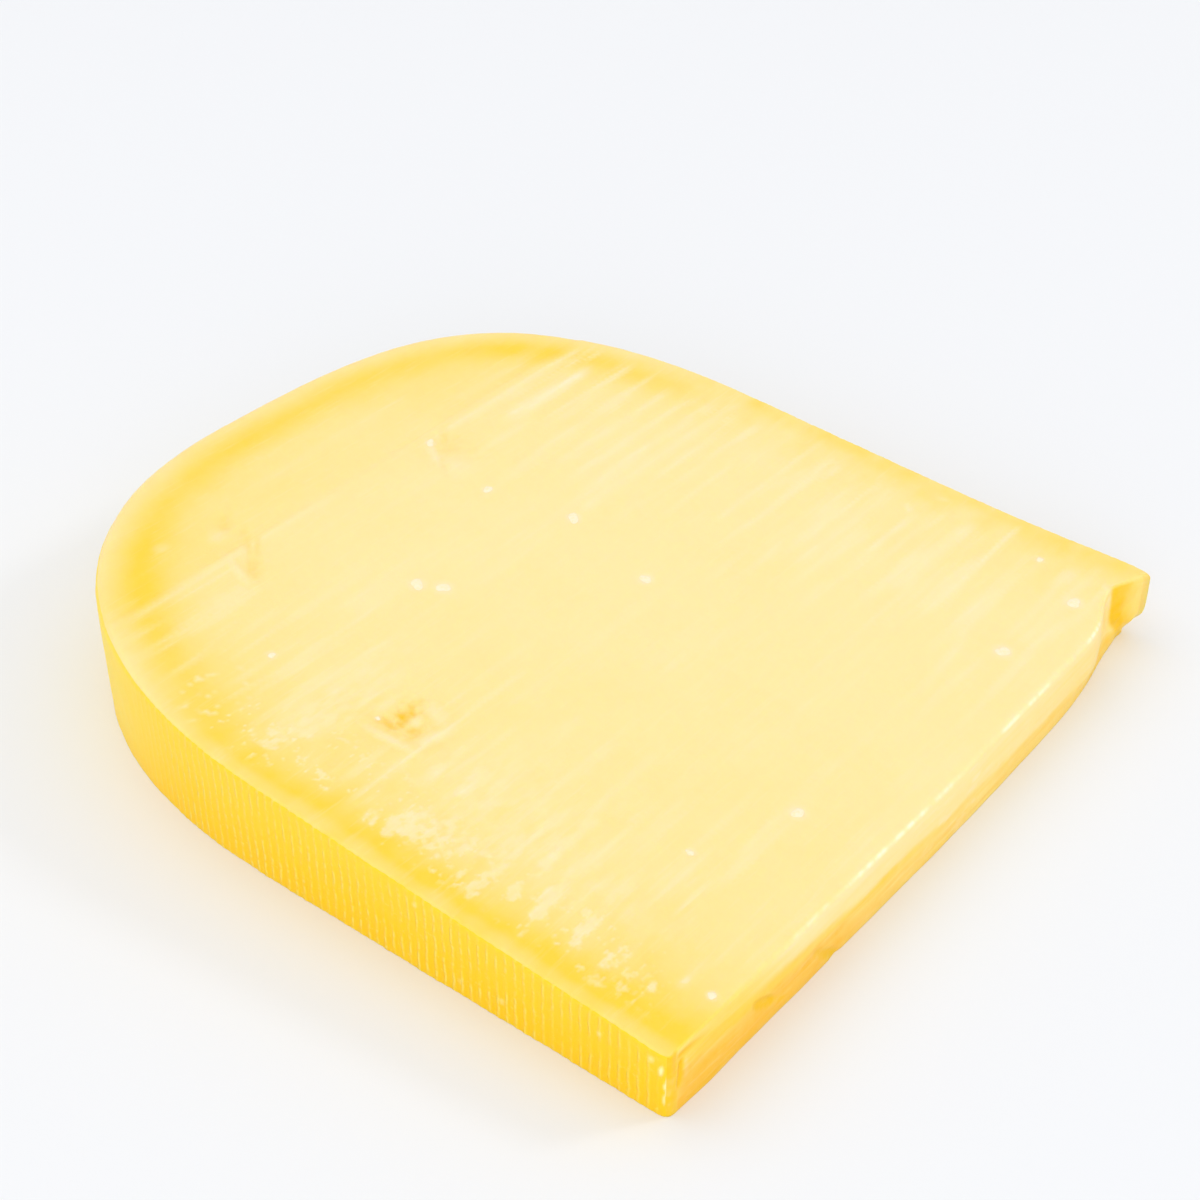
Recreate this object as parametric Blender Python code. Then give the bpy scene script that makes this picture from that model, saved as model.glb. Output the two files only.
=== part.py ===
"""Cheese wedge: a slanted slice cut off half a wheel, lying on one of its two cut faces.

The slice is D-shaped seen from above. Its long straight sides are the two flat faces of the
wheel, which keep the ribbed print of the mould's cloth. Its curved end is the wheel's rim,
and its short flat end is where the knife took off the point. The two large cut faces are
not parallel, so the slice is thin at the tip and twice as thick at the rim.

Frame: origin at the middle of the footprint on the resting face, +X from the tip to the rim,
+Y towards the front ribbed side, +Z up. Metres.
"""

import bisect
import math

import bmesh
import bpy
from mathutils import Matrix

# Overall sizes
LENGTH = 0.1197            # outermost point of the tip face to the top of the rim's curve
WIDTH = 0.110              # across the two ribbed sides
TIP_THICKNESS = 0.0092     # at the flat tip end
RIM_THICKNESS = 0.0183     # at the outermost point of the rim

# Outline seen from above, measured from the tip's corners along the slice
TIP_BOW = 0.0008           # how far the middle of the tip face stands out past its corners
RIM_REACH = LENGTH - TIP_BOW
RIM_APEX_Y = 0.0043        # the rim's outermost point lies a little off the middle
FRONT_STRAIGHT = 0.0577    # length of the straight ribbed side before it turns into the rim
FRONT_SQUARENESS = 2.36    # exponent of the superellipse that rounds the front shoulder
BACK_STRAIGHT = 0.0613
BACK_SQUARENESS = 3.06

# Cloth ribs on the two wheel faces, running up and down the sides
RIB_PITCH = 0.00131
RIB_DEPTH = 0.00024
RIB_UNEVENNESS = 0.16      # share by which one groove is deeper or shallower than the next
RIB_UNEVEN_TURN = 1.7      # turn in radians from one groove's unevenness to the next
RIB_STEPS = 4              # outline points in each rib
RIBS_FADE_FROM = 0.072     # distance from the tip where the ribs start to fade
RIBS_END = 0.090
RIM_STEP = 0.0024          # spacing of outline points where there are no ribs
TIP_STEP = 0.0030
NOTCH_STEP = 0.0012

# Far corner of the tip: the paste is torn away beside a standing wedge of rind
NOTCH_START = 0.034        # distance back from the middle line where the face turns inwards
NOTCH_END = 0.0492
NOTCH_DEPTH = 0.0030
NOTCH_FOOT_SHARE = 0.45    # the notch is shallower at its foot than at its upper edge
RIND_CORNER_INSET = 0.0004
RIND_FACE_CURVE = 1.5      # how strongly the broken face of the rind curves back out

# Edges
TIP_EDGE_ROUNDING = 0.0006
ROUNDING_SEGMENTS = 2

# Hollows: distance from the tip, place across, half sizes, turn about Z in degrees
EYE_IN_TOP = (0.0557, 0.0342, (0.0034, 0.0027, 0.0017), 20.0)
EYE_LOBE = (0.0583, 0.0356, (0.0016, 0.0013, 0.0010), -10.0)
LONG_DENT = (0.0935, 0.0238, (0.0034, 0.0012, 0.0008), -38.0)
SMALL_DENT = (0.1005, 0.0220, (0.0013, 0.0010, 0.0006), 0.0)
WIDE_DENT = (0.0900, -0.0120, (0.0046, 0.0040, 0.0005), 15.0)
TIP_EYE_Y = 0.0377
TIP_EYE_Z = 0.0041
TIP_EYE_HALF_SIZES = (0.0015, 0.0018, 0.0010)
CRACK_Y = 0.0530           # slit between the rind and the paste on the tip face
CRACK_WIDTH = 0.00035
CRACK_LOW = 0.0034
CRACK_HIGH = 0.0077
CRACK_DEPTH = 0.0014
HOLLOW_SEGMENTS = 20
HOLLOW_RINGS = 12

WELD_DISTANCE = 0.00001
CURVE_SAMPLES = 400

PASTE_COLOUR = (0.93, 0.72, 0.24, 1.0)
PASTE_ROUGHNESS = 0.42
PASTE_METALLIC = 0.0


def clear_scene():
    """Remove whatever the scene already holds."""
    for existing in list(bpy.data.objects):
        bpy.data.objects.remove(existing, do_unlink=True)


def make_collection(name):
    """A new collection linked to the scene."""
    collection = bpy.data.collections.new(name)
    bpy.context.scene.collection.children.link(collection)
    return collection


def make_material(name):
    """The one material: pale golden paste with a soft sheen."""
    material = bpy.data.materials.new(name)
    material.use_nodes = True
    shader = material.node_tree.nodes["Principled BSDF"]
    shader.inputs["Base Color"].default_value = PASTE_COLOUR
    shader.inputs["Roughness"].default_value = PASTE_ROUGHNESS
    shader.inputs["Metallic"].default_value = PASTE_METALLIC
    material.diffuse_color = PASTE_COLOUR
    return material


def smooth_step(value):
    """Ease from 0 to 1 as value goes from 0 to 1."""
    value = min(max(value, 0.0), 1.0)
    return value * value * (3.0 - 2.0 * value)


def row_x(from_tip):
    """Frame X of a place given by its distance from the tip's corners."""
    return from_tip - (RIM_REACH - TIP_BOW) / 2.0


def top_height(from_tip):
    """Height of the slanted upper cut face at a distance from the tip."""
    return TIP_THICKNESS + (RIM_THICKNESS - TIP_THICKNESS) * from_tip / RIM_REACH


def tip_face_x(y):
    """The tip face, bowed outwards, torn inwards and standing out again at the far corner."""
    if y < -NOTCH_END:
        outwards = (-y - NOTCH_END) / (WIDTH / 2.0 - NOTCH_END)
        rise = NOTCH_DEPTH - RIND_CORNER_INSET
        return RIND_CORNER_INSET + rise * (1.0 - outwards) ** RIND_FACE_CURVE
    across = 2.0 * y / WIDTH
    bow = -TIP_BOW * (1.0 - across * across)
    torn = smooth_step((-y - NOTCH_START) / (NOTCH_END - NOTCH_START))
    return bow + (NOTCH_DEPTH - bow) * torn * torn


def spread_points(start, end, step):
    """Evenly spaced values from start towards end, the end itself left out."""
    count = round(abs(end - start) / step)
    return [start + (end - start) * index / count for index in range(count)]


def tip_points():
    """Outline of the tip face, from the front corner to the standing wedge of rind."""
    across = spread_points(WIDTH / 2.0, -NOTCH_START, TIP_STEP)
    across += spread_points(-NOTCH_START, -WIDTH / 2.0, NOTCH_STEP)
    return [(tip_face_x(y), y) for y in across]


def side_curve(side, straight, squareness):
    """A long side and its shoulder, from the tip corner to the rim's outermost point.

    side is +1 for the front and -1 for the back.
    """
    half_span = WIDTH / 2.0 - side * RIM_APEX_Y
    corner_y = side * WIDTH / 2.0
    points = [(tip_face_x(corner_y), corner_y)]
    for step in range(CURVE_SAMPLES + 1):
        turn = 0.5 * math.pi * step / CURVE_SAMPLES
        x = straight + (RIM_REACH - straight) * math.sin(turn) ** (2.0 / squareness)
        y = RIM_APEX_Y + side * half_span * max(math.cos(turn), 0.0) ** (2.0 / squareness)
        points.append((x, y))
    return points


def distances_along(points):
    """Distance of each point of a curve from its start, measured along the curve."""
    distances = [0.0]
    for start, end in zip(points, points[1:]):
        distances.append(distances[-1] + math.dist(start, end))
    return distances


def walk(points, distances, distance):
    """Place and direction of travel at a distance along a curve of points."""
    index = min(bisect.bisect_right(distances, distance), len(points) - 1)
    start = points[index - 1]
    end = points[index]
    run = distances[index] - distances[index - 1]
    tangent = ((end[0] - start[0]) / run, (end[1] - start[1]) / run)
    along = distance - distances[index - 1]
    place = (start[0] + tangent[0] * along, start[1] + tangent[1] * along)
    return place, tangent


def ribbed_side(side, straight, squareness):
    """A long side with its ribs, and the smooth rim up to the outermost point."""
    curve = side_curve(side, straight, squareness)
    distances = distances_along(curve)
    rib_step = RIB_PITCH / RIB_STEPS
    points = []
    index = 0
    distance = 0.0
    while distance < distances[-1] - RIM_STEP / 2.0:
        place, tangent = walk(curve, distances, distance)
        inward = (side * tangent[1], -side * tangent[0])
        fade = 1.0 - smooth_step((place[0] - RIBS_FADE_FROM) / (RIBS_END - RIBS_FADE_FROM))
        groove = math.cos(math.pi * index / RIB_STEPS) ** 2
        uneven = 1.0 + RIB_UNEVENNESS * math.sin(RIB_UNEVEN_TURN * index / RIB_STEPS)
        depth = RIB_DEPTH * fade * groove * uneven
        points.append((place[0] + inward[0] * depth, place[1] + inward[1] * depth))
        index += 1
        distance += rib_step if fade > 0.0 else RIM_STEP
    return points


def slice_outline():
    """The closed outline, anticlockwise seen from above."""
    back = ribbed_side(-1.0, BACK_STRAIGHT, BACK_SQUARENESS)
    front = ribbed_side(1.0, FRONT_STRAIGHT, FRONT_SQUARENESS)
    apex = [(RIM_REACH, RIM_APEX_Y)]
    return tip_points() + back + apex + list(reversed(front))[:-1]


def flat_outline_mesh(name, points, thickness):
    """Extrude a closed flat outline with a filled 2D curve, and weld it into one mesh."""
    curve = bpy.data.curves.new(name + "_outline", "CURVE")
    curve.dimensions = "2D"
    curve.fill_mode = "BOTH"
    curve.extrude = thickness / 2.0
    spline = curve.splines.new("POLY")
    spline.points.add(len(points) - 1)
    for point, (x, y) in zip(spline.points, points):
        point.co = (row_x(x), y, 0.0, 1.0)
    spline.use_cyclic_u = True
    guide = bpy.data.objects.new(name + "_outline", curve)
    bpy.context.scene.collection.objects.link(guide)
    evaluated = guide.evaluated_get(bpy.context.evaluated_depsgraph_get())
    mesh = bpy.data.meshes.new_from_object(evaluated)
    bpy.data.objects.remove(guide, do_unlink=True)
    weld_and_face_outwards(mesh)
    return mesh


def weld_and_face_outwards(mesh):
    """Join the loose caps to the walls and point every face outwards."""
    body = bmesh.new()
    body.from_mesh(mesh)
    bmesh.ops.remove_doubles(body, verts=body.verts, dist=WELD_DISTANCE)
    bmesh.ops.recalc_face_normals(body, faces=body.faces)
    body.to_mesh(mesh)
    body.free()


def slant_upper_face(mesh):
    """Stand the slab on z = 0 and bring its upper face to the knife's slant.

    The notch in the tip face gets its shallower foot here.
    """
    notch_side = -WIDTH / 2.0 + 2.0 * RIB_DEPTH
    for vertex in mesh.vertices:
        place = vertex.co
        from_tip = place.x - row_x(0.0)
        if place.z > 0.0:
            place.z = top_height(from_tip)
            continue
        place.z = 0.0
        in_notch = notch_side < place.y < -NOTCH_START and from_tip < NOTCH_DEPTH + WELD_DISTANCE
        if in_notch and from_tip > 0.0:
            place.x = row_x(from_tip * NOTCH_FOOT_SHARE)


def round_tip_edge(mesh):
    """Round the soft upper edge of the tip face, with each cut face as one polygon."""
    body = bmesh.new()
    body.from_mesh(mesh)
    for side in (1.0, -1.0):
        cut_face = [face for face in body.faces if face.normal.z * side > 0.9]
        bmesh.ops.dissolve_faces(body, faces=cut_face, use_verts=False)
    notch_line = row_x(NOTCH_DEPTH)
    edges = []
    for edge in body.edges:
        ends = [vertex.co for vertex in edge.verts]
        at_top = all(end.z > TIP_THICKNESS / 2.0 for end in ends)
        in_face = all(end.x <= notch_line and end.y > -NOTCH_END + TIP_STEP for end in ends)
        along = abs(ends[0].y - ends[1].y) > TIP_STEP / 2.0
        if at_top and in_face and along:
            edges.append(edge)
    bmesh.ops.bevel(body, geom=edges, offset=TIP_EDGE_ROUNDING, segments=ROUNDING_SEGMENTS,
                    affect="EDGES", profile=0.5)
    bmesh.ops.recalc_face_normals(body, faces=body.faces)
    body.to_mesh(mesh)
    body.free()


def hollow_cutter(name, centre, half_sizes, turn, collection):
    """An ellipsoid that presses a hollow into a face."""
    body = bmesh.new()
    bmesh.ops.create_uvsphere(body, u_segments=HOLLOW_SEGMENTS, v_segments=HOLLOW_RINGS,
                              radius=1.0)
    spread = Matrix.Diagonal((*half_sizes, 1.0))
    turned = Matrix.Rotation(math.radians(turn), 4, "Z")
    bmesh.ops.transform(body, matrix=Matrix.Translation(centre) @ turned @ spread,
                        verts=body.verts)
    mesh = bpy.data.meshes.new(name)
    body.to_mesh(mesh)
    body.free()
    return add_cutter(name, mesh, collection)


def crack_cutter(collection):
    """A thin upright blade that opens the slit between rind and paste."""
    body = bmesh.new()
    bmesh.ops.create_cube(body, size=1.0)
    sizes = Matrix.Diagonal((2.0 * CRACK_DEPTH, CRACK_WIDTH, CRACK_HIGH - CRACK_LOW, 1.0))
    centre = (row_x(tip_face_x(CRACK_Y)), CRACK_Y, (CRACK_LOW + CRACK_HIGH) / 2.0)
    bmesh.ops.transform(body, matrix=Matrix.Translation(centre) @ sizes, verts=body.verts)
    mesh = bpy.data.meshes.new("crack_blade")
    body.to_mesh(mesh)
    body.free()
    return add_cutter("crack_blade", mesh, collection)


def add_cutter(name, mesh, collection):
    """Link a cutter that neither renders nor counts as part of the object."""
    cutter = bpy.data.objects.new(name, mesh)
    cutter.hide_render = True
    cutter.display_type = "WIRE"
    collection.objects.link(cutter)
    return cutter


def make_cutters(collection):
    """Every hollow that the cheese shows on its upper face and its tip face."""
    cutters = []
    hollows = {
        "eye": EYE_IN_TOP,
        "eye_lobe": EYE_LOBE,
        "long_dent": LONG_DENT,
        "small_dent": SMALL_DENT,
        "wide_dent": WIDE_DENT,
    }
    for name, (from_tip, across, half_sizes, turn) in hollows.items():
        centre = (row_x(from_tip), across, top_height(from_tip))
        cutters.append(hollow_cutter(name, centre, half_sizes, turn, collection))
    tip_eye = (row_x(tip_face_x(TIP_EYE_Y)), TIP_EYE_Y, TIP_EYE_Z)
    cutters.append(hollow_cutter("tip_eye", tip_eye, TIP_EYE_HALF_SIZES, 0.0, collection))
    cutters.append(crack_cutter(collection))
    return cutters


def cut_hollows(piece, cutters):
    """Subtract each cutter from the piece."""
    for cutter in cutters:
        cut = piece.modifiers.new("cut_" + cutter.name, "BOOLEAN")
        cut.operation = "DIFFERENCE"
        cut.solver = "EXACT"
        cut.object = cutter


def make_wedge(collection, material):
    """The slice itself."""
    mesh = flat_outline_mesh("cheese_wedge", slice_outline(), RIM_THICKNESS)
    mesh.name = "cheese_wedge"
    slant_upper_face(mesh)
    round_tip_edge(mesh)
    mesh.materials.clear()
    mesh.materials.append(material)
    mesh.shade_smooth()
    mesh.set_sharp_from_angle(angle=math.radians(35.0))
    wedge = bpy.data.objects.new("cheese_wedge", mesh)
    collection.objects.link(wedge)
    return wedge


def main():
    """Build the slice and cut its hollows."""
    clear_scene()
    pieces = make_collection("cheese_wedge")
    tools = make_collection("cutters")
    wedge = make_wedge(pieces, make_material("cheese"))
    cut_hollows(wedge, make_cutters(tools))


main()
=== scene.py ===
"""Looks of one slanted slice of semi-hard cheese lying on its cut face.

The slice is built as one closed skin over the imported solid: ribbed wheel faces, a smooth
rim, knife-cut upper and lower faces with torn eyes, dents and knife smears, and a tip face
that is torn open at its far corner. Small ripening crystals sit in its upper face.

Lengths are millimetres in the slice's own measure until a mesh is written: from_tip runs
from the tip's corners to the rim, across runs towards the front ribbed side, height is up.
"""

import logging
import math
from dataclasses import dataclass, field
from enum import IntEnum

import bpy
import numpy as np
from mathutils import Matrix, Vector
from mathutils.geometry import delaunay_2d_cdt
from mathutils.kdtree import KDTree


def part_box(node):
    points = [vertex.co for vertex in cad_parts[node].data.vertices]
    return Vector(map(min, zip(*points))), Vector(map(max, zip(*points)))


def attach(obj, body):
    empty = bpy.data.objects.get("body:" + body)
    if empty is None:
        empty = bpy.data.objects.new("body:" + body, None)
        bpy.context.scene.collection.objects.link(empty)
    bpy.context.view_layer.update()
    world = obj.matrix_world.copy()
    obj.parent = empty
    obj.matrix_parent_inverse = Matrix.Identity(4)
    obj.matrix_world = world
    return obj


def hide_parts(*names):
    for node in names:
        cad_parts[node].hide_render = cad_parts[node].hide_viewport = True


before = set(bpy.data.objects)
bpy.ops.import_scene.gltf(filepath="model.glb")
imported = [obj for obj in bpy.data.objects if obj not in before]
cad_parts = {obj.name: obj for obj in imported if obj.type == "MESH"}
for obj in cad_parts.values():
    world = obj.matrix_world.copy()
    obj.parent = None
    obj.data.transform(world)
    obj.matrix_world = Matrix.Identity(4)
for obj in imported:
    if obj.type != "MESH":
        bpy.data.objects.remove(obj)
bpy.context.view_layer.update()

LOG = logging.getLogger("cheese")
MM = 0.001
MERGE = 1e-6
NODE = "cheese_wedge"

Colour = tuple[float, float, float]
Array = np.ndarray
Box = tuple[float, float, float, float]


class Side(IntEnum):
    """Stretches of the outline, in the order in which it is walked."""

    TIP = 0
    BACK = 1
    FRONT = 2


class MaterialSlot(IntEnum):
    """Material slots of the cheese's mesh."""

    PASTE = 0
    RIND = 1


def smooth_step(value: Array) -> Array:
    """Ease from 0 to 1 as value goes from 0 to 1."""
    held = np.clip(value, 0.0, 1.0)
    return held * held * (3.0 - 2.0 * held)


def bell(value: Array) -> Array:
    """A bump of height 1 at 0 that has faded out by about 2."""
    return np.exp(-np.square(value))


def from_srgb(red: int, green: int, blue: int) -> Colour:
    """Scene-linear colour of a display colour given in steps of 255."""
    def linear(step: int) -> float:
        share = step / 255.0
        return share / 12.92 if share <= 0.04045 else ((share + 0.055) / 1.055) ** 2.4
    return linear(red), linear(green), linear(blue)


class Grain:
    """Seeded lattice noise over a plane, between -1 and 1."""

    CELLS = 256

    def __init__(self, seed: int) -> None:
        """Draw the lattice.

        Args:
            seed: picks the pattern.
        """
        self.lattice = np.random.default_rng(seed).uniform(-1.0, 1.0, (self.CELLS, self.CELLS))

    def sample(self, u: Array, v: Array) -> Array:
        """Noise with one bump to a unit.

        Args:
            u: first coordinate.
            v: second coordinate.

        Returns:
            The noise at each point.
        """
        u, v = np.broadcast_arrays(u, v)
        column = np.floor(u).astype(int)
        row = np.floor(v).astype(int)
        ease_u = smooth_step(u - column)
        ease_v = smooth_step(v - row)
        column, row = column % self.CELLS, row % self.CELLS
        next_column, next_row = (column + 1) % self.CELLS, (row + 1) % self.CELLS
        low = self.lattice[column, row] * (1 - ease_u) + self.lattice[next_column, row] * ease_u
        high = (self.lattice[column, next_row] * (1 - ease_u)
                + self.lattice[next_column, next_row] * ease_u)
        return low * (1 - ease_v) + high * ease_v

    def rough(self, u: Array, v: Array, octaves: int = 3) -> Array:
        """Noise with finer and weaker noise on top.

        Args:
            u: first coordinate.
            v: second coordinate.
            octaves: how many layers.

        Returns:
            The noise at each point.
        """
        total = 0.0
        for layer in range(octaves):
            finer = 2.0 ** layer
            shift = 17.3 * layer
            total = total + self.sample(u * finer + shift, v * finer - shift) / finer
        return total / (2.0 - 0.5 ** (octaves - 1))


@dataclass
class Outline:
    """The D-shaped outline of the slice seen from above."""

    length: float
    width: float
    tip_bow: float = 0.8
    rim_apex: float = 4.3
    front_straight: float = 57.7
    front_squareness: float = 2.36
    back_straight: float = 61.3
    back_squareness: float = 3.06
    notch_start: float = 35.0
    notch_end: float = 48.9
    notch_depth: float = 2.5
    corner_inset: float = 0.3
    rind_face_curve: float = 1.3
    foot_start: float = 29.0
    foot_draw: float = 2.3
    rib_pitch: float = 1.31
    points_per_rib: int = 5
    ribs_fade_from: float = 72.0
    ribs_end: float = 90.0
    rim_step: float = 0.6
    tip_step: float = 0.30
    corner_step: float = 0.13
    notch_step: float = 0.22
    corner_run: float = 7.0
    notch_margin: float = 4.0
    curve_samples: int = 1500
    softening: int = 3
    corner_passes: tuple[int, int] = (55, 24)
    corner_reach: tuple[float, float] = (1.5, 2.2)

    @property
    def half_width(self) -> float:
        """Half the distance between the two ribbed sides."""
        return self.width / 2.0

    @property
    def reach(self) -> float:
        """Distance from the tip's corners to the rim's outermost point."""
        return self.length - self.tip_bow

    @property
    def middle(self) -> float:
        """Distance from the tip's corners to the middle of the whole length."""
        return (self.reach - self.tip_bow) / 2.0

    def tip_face(self, across: Array) -> Array:
        """Where the tip face lies at its upper edge.

        Args:
            across: places along the face.

        Returns:
            Distance from the tip's corners at each place.
        """
        bow = -self.tip_bow * (1.0 - np.square(across / self.half_width))
        torn = smooth_step((-across - self.notch_start) / (self.notch_end - self.notch_start))
        face = bow + (self.notch_depth - bow) * torn * torn
        outwards = (-across - self.notch_end) / (self.half_width - self.notch_end)
        rise = self.notch_depth - self.corner_inset
        rind = self.corner_inset + rise * (1.0 - np.clip(outwards, 0, 1)) ** self.rind_face_curve
        return np.where(across < -self.notch_end, rind, face)

    def tip_foot(self, across: Array) -> Array:
        """Where the tip face lies at its foot, which the torn corner hardly reaches.

        Args:
            across: places along the face.

        Returns:
            Distance from the tip's corners at each place.
        """
        bow = -self.tip_bow * (1.0 - np.square(across / self.half_width))
        drawn = smooth_step((-across - self.foot_start) / (self.half_width - self.foot_start))
        return bow * (1.0 - drawn) + self.foot_draw * drawn ** 1.3

    def tip_places(self) -> Array:
        """Places along the tip face, closer together where it is cracked or torn."""
        corner = self.half_width - self.corner_run
        notch = -self.notch_start - self.notch_margin
        stretches = (
            (self.half_width, corner, self.corner_step),
            (corner, notch, self.tip_step),
            (notch, -self.half_width, self.notch_step),
        )
        return np.concatenate([np.linspace(start, end, round((start - end) / step), endpoint=False)
                               for start, end, step in stretches])

    def side_curve(self, side: Side) -> Array:
        """One long side with its shoulder, from the tip's corner to the rim's outermost point.

        Args:
            side: BACK or FRONT.

        Returns:
            The curve's points, one to a row.
        """
        sign = 1.0 if side is Side.FRONT else -1.0
        straight = self.front_straight if side is Side.FRONT else self.back_straight
        power = 2.0 / (self.front_squareness if side is Side.FRONT else self.back_squareness)
        turn = np.linspace(0.0, math.pi / 2.0, self.curve_samples)
        from_tip = straight + (self.reach - straight) * np.sin(turn) ** power
        half_span = self.half_width - sign * self.rim_apex
        across = self.rim_apex + sign * half_span * np.clip(np.cos(turn), 0.0, 1.0) ** power
        corner = sign * self.half_width
        start = [[float(self.tip_face(np.array(corner))), corner]]
        return np.concatenate([start, np.stack([from_tip, across], 1)])

    def fade(self, from_tip: Array) -> Array:
        """How strong the ribs are, from 1 on the flat sides to 0 on the rim."""
        run = self.ribs_end - self.ribs_fade_from
        return 1.0 - smooth_step((from_tip - self.ribs_fade_from) / run)

    def walk_side(self, side: Side) -> tuple[Array, Array]:
        """Points along one long side at the spacing that its ribs need.

        Args:
            side: BACK or FRONT.

        Returns:
            The points, and how far along the side each lies.
        """
        curve = self.side_curve(side)
        travelled = np.concatenate([[0.0], np.cumsum(np.hypot(*np.diff(curve, axis=0).T))])
        rib_step = self.rib_pitch / self.points_per_rib
        along = [0.0]
        while along[-1] < travelled[-1] - self.rim_step:
            ribbed = self.fade(np.interp(along[-1], travelled, curve[:, 0])) > 0.0
            along.append(along[-1] + (rib_step if ribbed else self.rim_step))
        along = np.array(along)
        points = np.stack([np.interp(along, travelled, curve[:, axis]) for axis in (0, 1)], 1)
        return points, along

    def walk(self) -> "OutlinePoints":
        """Walk the whole outline, anticlockwise seen from above.

        Returns:
            Its points with their normals.
        """
        places = self.tip_places()
        tip = np.stack([self.tip_face(places), places], 1)
        back, back_along = self.walk_side(Side.BACK)
        front, front_along = self.walk_side(Side.FRONT)
        apex = np.array([[self.reach, self.rim_apex]])
        points = np.concatenate([tip, back, apex, front[:0:-1]])
        along = np.concatenate([places, back_along, [0.0], front_along[:0:-1]])
        side = np.concatenate([
            np.full(len(tip), Side.TIP),
            np.full(len(back) + 1, Side.BACK),
            np.full(len(front) - 1, Side.FRONT),
        ])
        for _ in range(self.softening):
            points = points + 0.5 * pull(points)
        for sign, passes, reach in zip((1.0, -1.0), self.corner_passes, self.corner_reach):
            corner = np.array([0.0, sign * self.half_width])
            share = bell(np.hypot(*(points - corner).T) / reach)[:, None]
            for _ in range(passes):
                points = points + 0.5 * share * pull(points)
        run = np.roll(points, -1, axis=0) - np.roll(points, 1, axis=0)
        run /= np.hypot(*run.T)[:, None]
        normal = np.stack([run[:, 1], -run[:, 0]], 1)
        return OutlinePoints(points, normal, along, side)


def pull(points: Array) -> Array:
    """Step from each point of a closed line to the middle of its two neighbours."""
    return (np.roll(points, 1, axis=0) + np.roll(points, -1, axis=0)) / 2.0 - points


def nearest_tree(points: Array) -> KDTree:
    """Make a tree that finds the nearest of some flat points.

    Args:
        points: one point to a row.

    Returns:
        The tree, with each point's row as its index.
    """
    tree = KDTree(len(points))
    for index, (x, y) in enumerate(points):
        tree.insert((x, y, 0.0), index)
    tree.balance()
    return tree


@dataclass
class OutlinePoints:
    """Points of the outline with what their walls need to know."""

    place: Array
    normal: Array
    along: Array
    side: Array

@dataclass(frozen=True)
class Ease:
    """A soft step from 0 to 1 that begins at start and takes width; a minus width falls."""

    start: float
    width: float

    def __call__(self, value: Array) -> Array:
        """The step at each value."""
        return smooth_step((value - self.start) / self.width)


@dataclass(frozen=True)
class Weave:
    """Noise stretched over a face: its strength, bump sizes, layers and shift."""

    strength: float
    u_size: float
    v_size: float
    layers: int = 1
    shift: float = 0.0

    def __call__(self, grain: Grain, u: Array, v: Array) -> Array:
        """Lay the noise over a face.

        Args:
            grain: the noise.
            u: first coordinate on the face.
            v: second coordinate on the face.

        Returns:
            Values up to the strength either way.
        """
        return self.strength * grain.rough(u / self.u_size + self.shift, v / self.v_size, self.layers)


@dataclass(frozen=True)
class RindBand:
    """How the golden rind colour fades into the paste behind one stretch of rind."""

    fade: float
    reach: float
    strength: float
    depth: float
    rise: float
    fall: float
    edge: float = 0.0
    edge_width: float = 1.0

    def gold(self, distance: Array) -> Array:
        """Share of rind colour in the paste.

        Args:
            distance: how far in from the rind.

        Returns:
            0 for plain paste to 1 for the full rind colour.
        """
        off = distance - self.depth
        band = self.strength * bell(off / np.where(off < 0.0, self.rise, self.fall))
        edge = self.edge * bell(distance / self.edge_width)
        return self.fade * np.exp(-distance / self.reach) + band - edge


@dataclass(frozen=True)
class Hollow:
    """A dent, a torn eye or a raised lip on a face, placed by two coordinates of that face."""

    u: float
    v: float
    half_u: float
    half_v: float
    depth: float
    turn: float
    ragged: float
    steep: float
    tone: float

    def shape(self, u: Array, v: Array, grain: Grain) -> Array:
        """How far into the hollow each point lies.

        Args:
            u: first coordinate on the face.
            v: second coordinate on the face.
            grain: makes the edge ragged.

        Returns:
            0 outside to 1 on the floor.
        """
        turn = math.radians(self.turn)
        du, dv = u - self.u, v - self.v
        along = (du * math.cos(turn) + dv * math.sin(turn)) / self.half_u
        beside = (-du * math.sin(turn) + dv * math.cos(turn)) / self.half_v
        radius = np.hypot(along, beside)
        radius = radius + self.ragged * grain.rough(u * 1.3 + 5.0, v * 1.3)
        return 1.0 - smooth_step((radius - 1.0) * self.steep / 2.0 + 0.5)


@dataclass(frozen=True)
class Crystal:
    """One white ripening crystal in the upper face."""

    from_tip: float
    across: float
    radius: float
    stretch: float = 1.0
    turn: float = 0.0


@dataclass(frozen=True)
class Streak:
    """A pale mark dragged along the knife's path, straight across the slice."""

    from_tip: float
    start: float
    end: float
    width: float
    pale: float
    crisp: float = 1.0
    ragged: float = 0.45

    def mark(self, from_tip: Array, across: Array, grain: Grain) -> Array:
        """Strength of the mark.

        Args:
            from_tip: distances from the tip.
            across: places across the slice.
            grain: bends and breaks the mark.

        Returns:
            0 to 1 at each point.
        """
        centre = self.from_tip + 0.18 * grain.sample(across / 11.0 + self.from_tip, across * 0.0)
        beside = from_tip - centre
        line = bell(beside / np.where(beside > 0.0, self.width / self.crisp, self.width))
        low, high = min(self.start, self.end), max(self.start, self.end)
        run = Ease(low, 5.0)(across) * Ease(high, -5.0)(across)
        gaps = grain.sample(across / 3.2 + 31.0 * self.from_tip, from_tip / 1.1)
        return line * run * (1.0 - self.ragged * smooth_step(0.5 + 1.2 * gaps))


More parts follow.
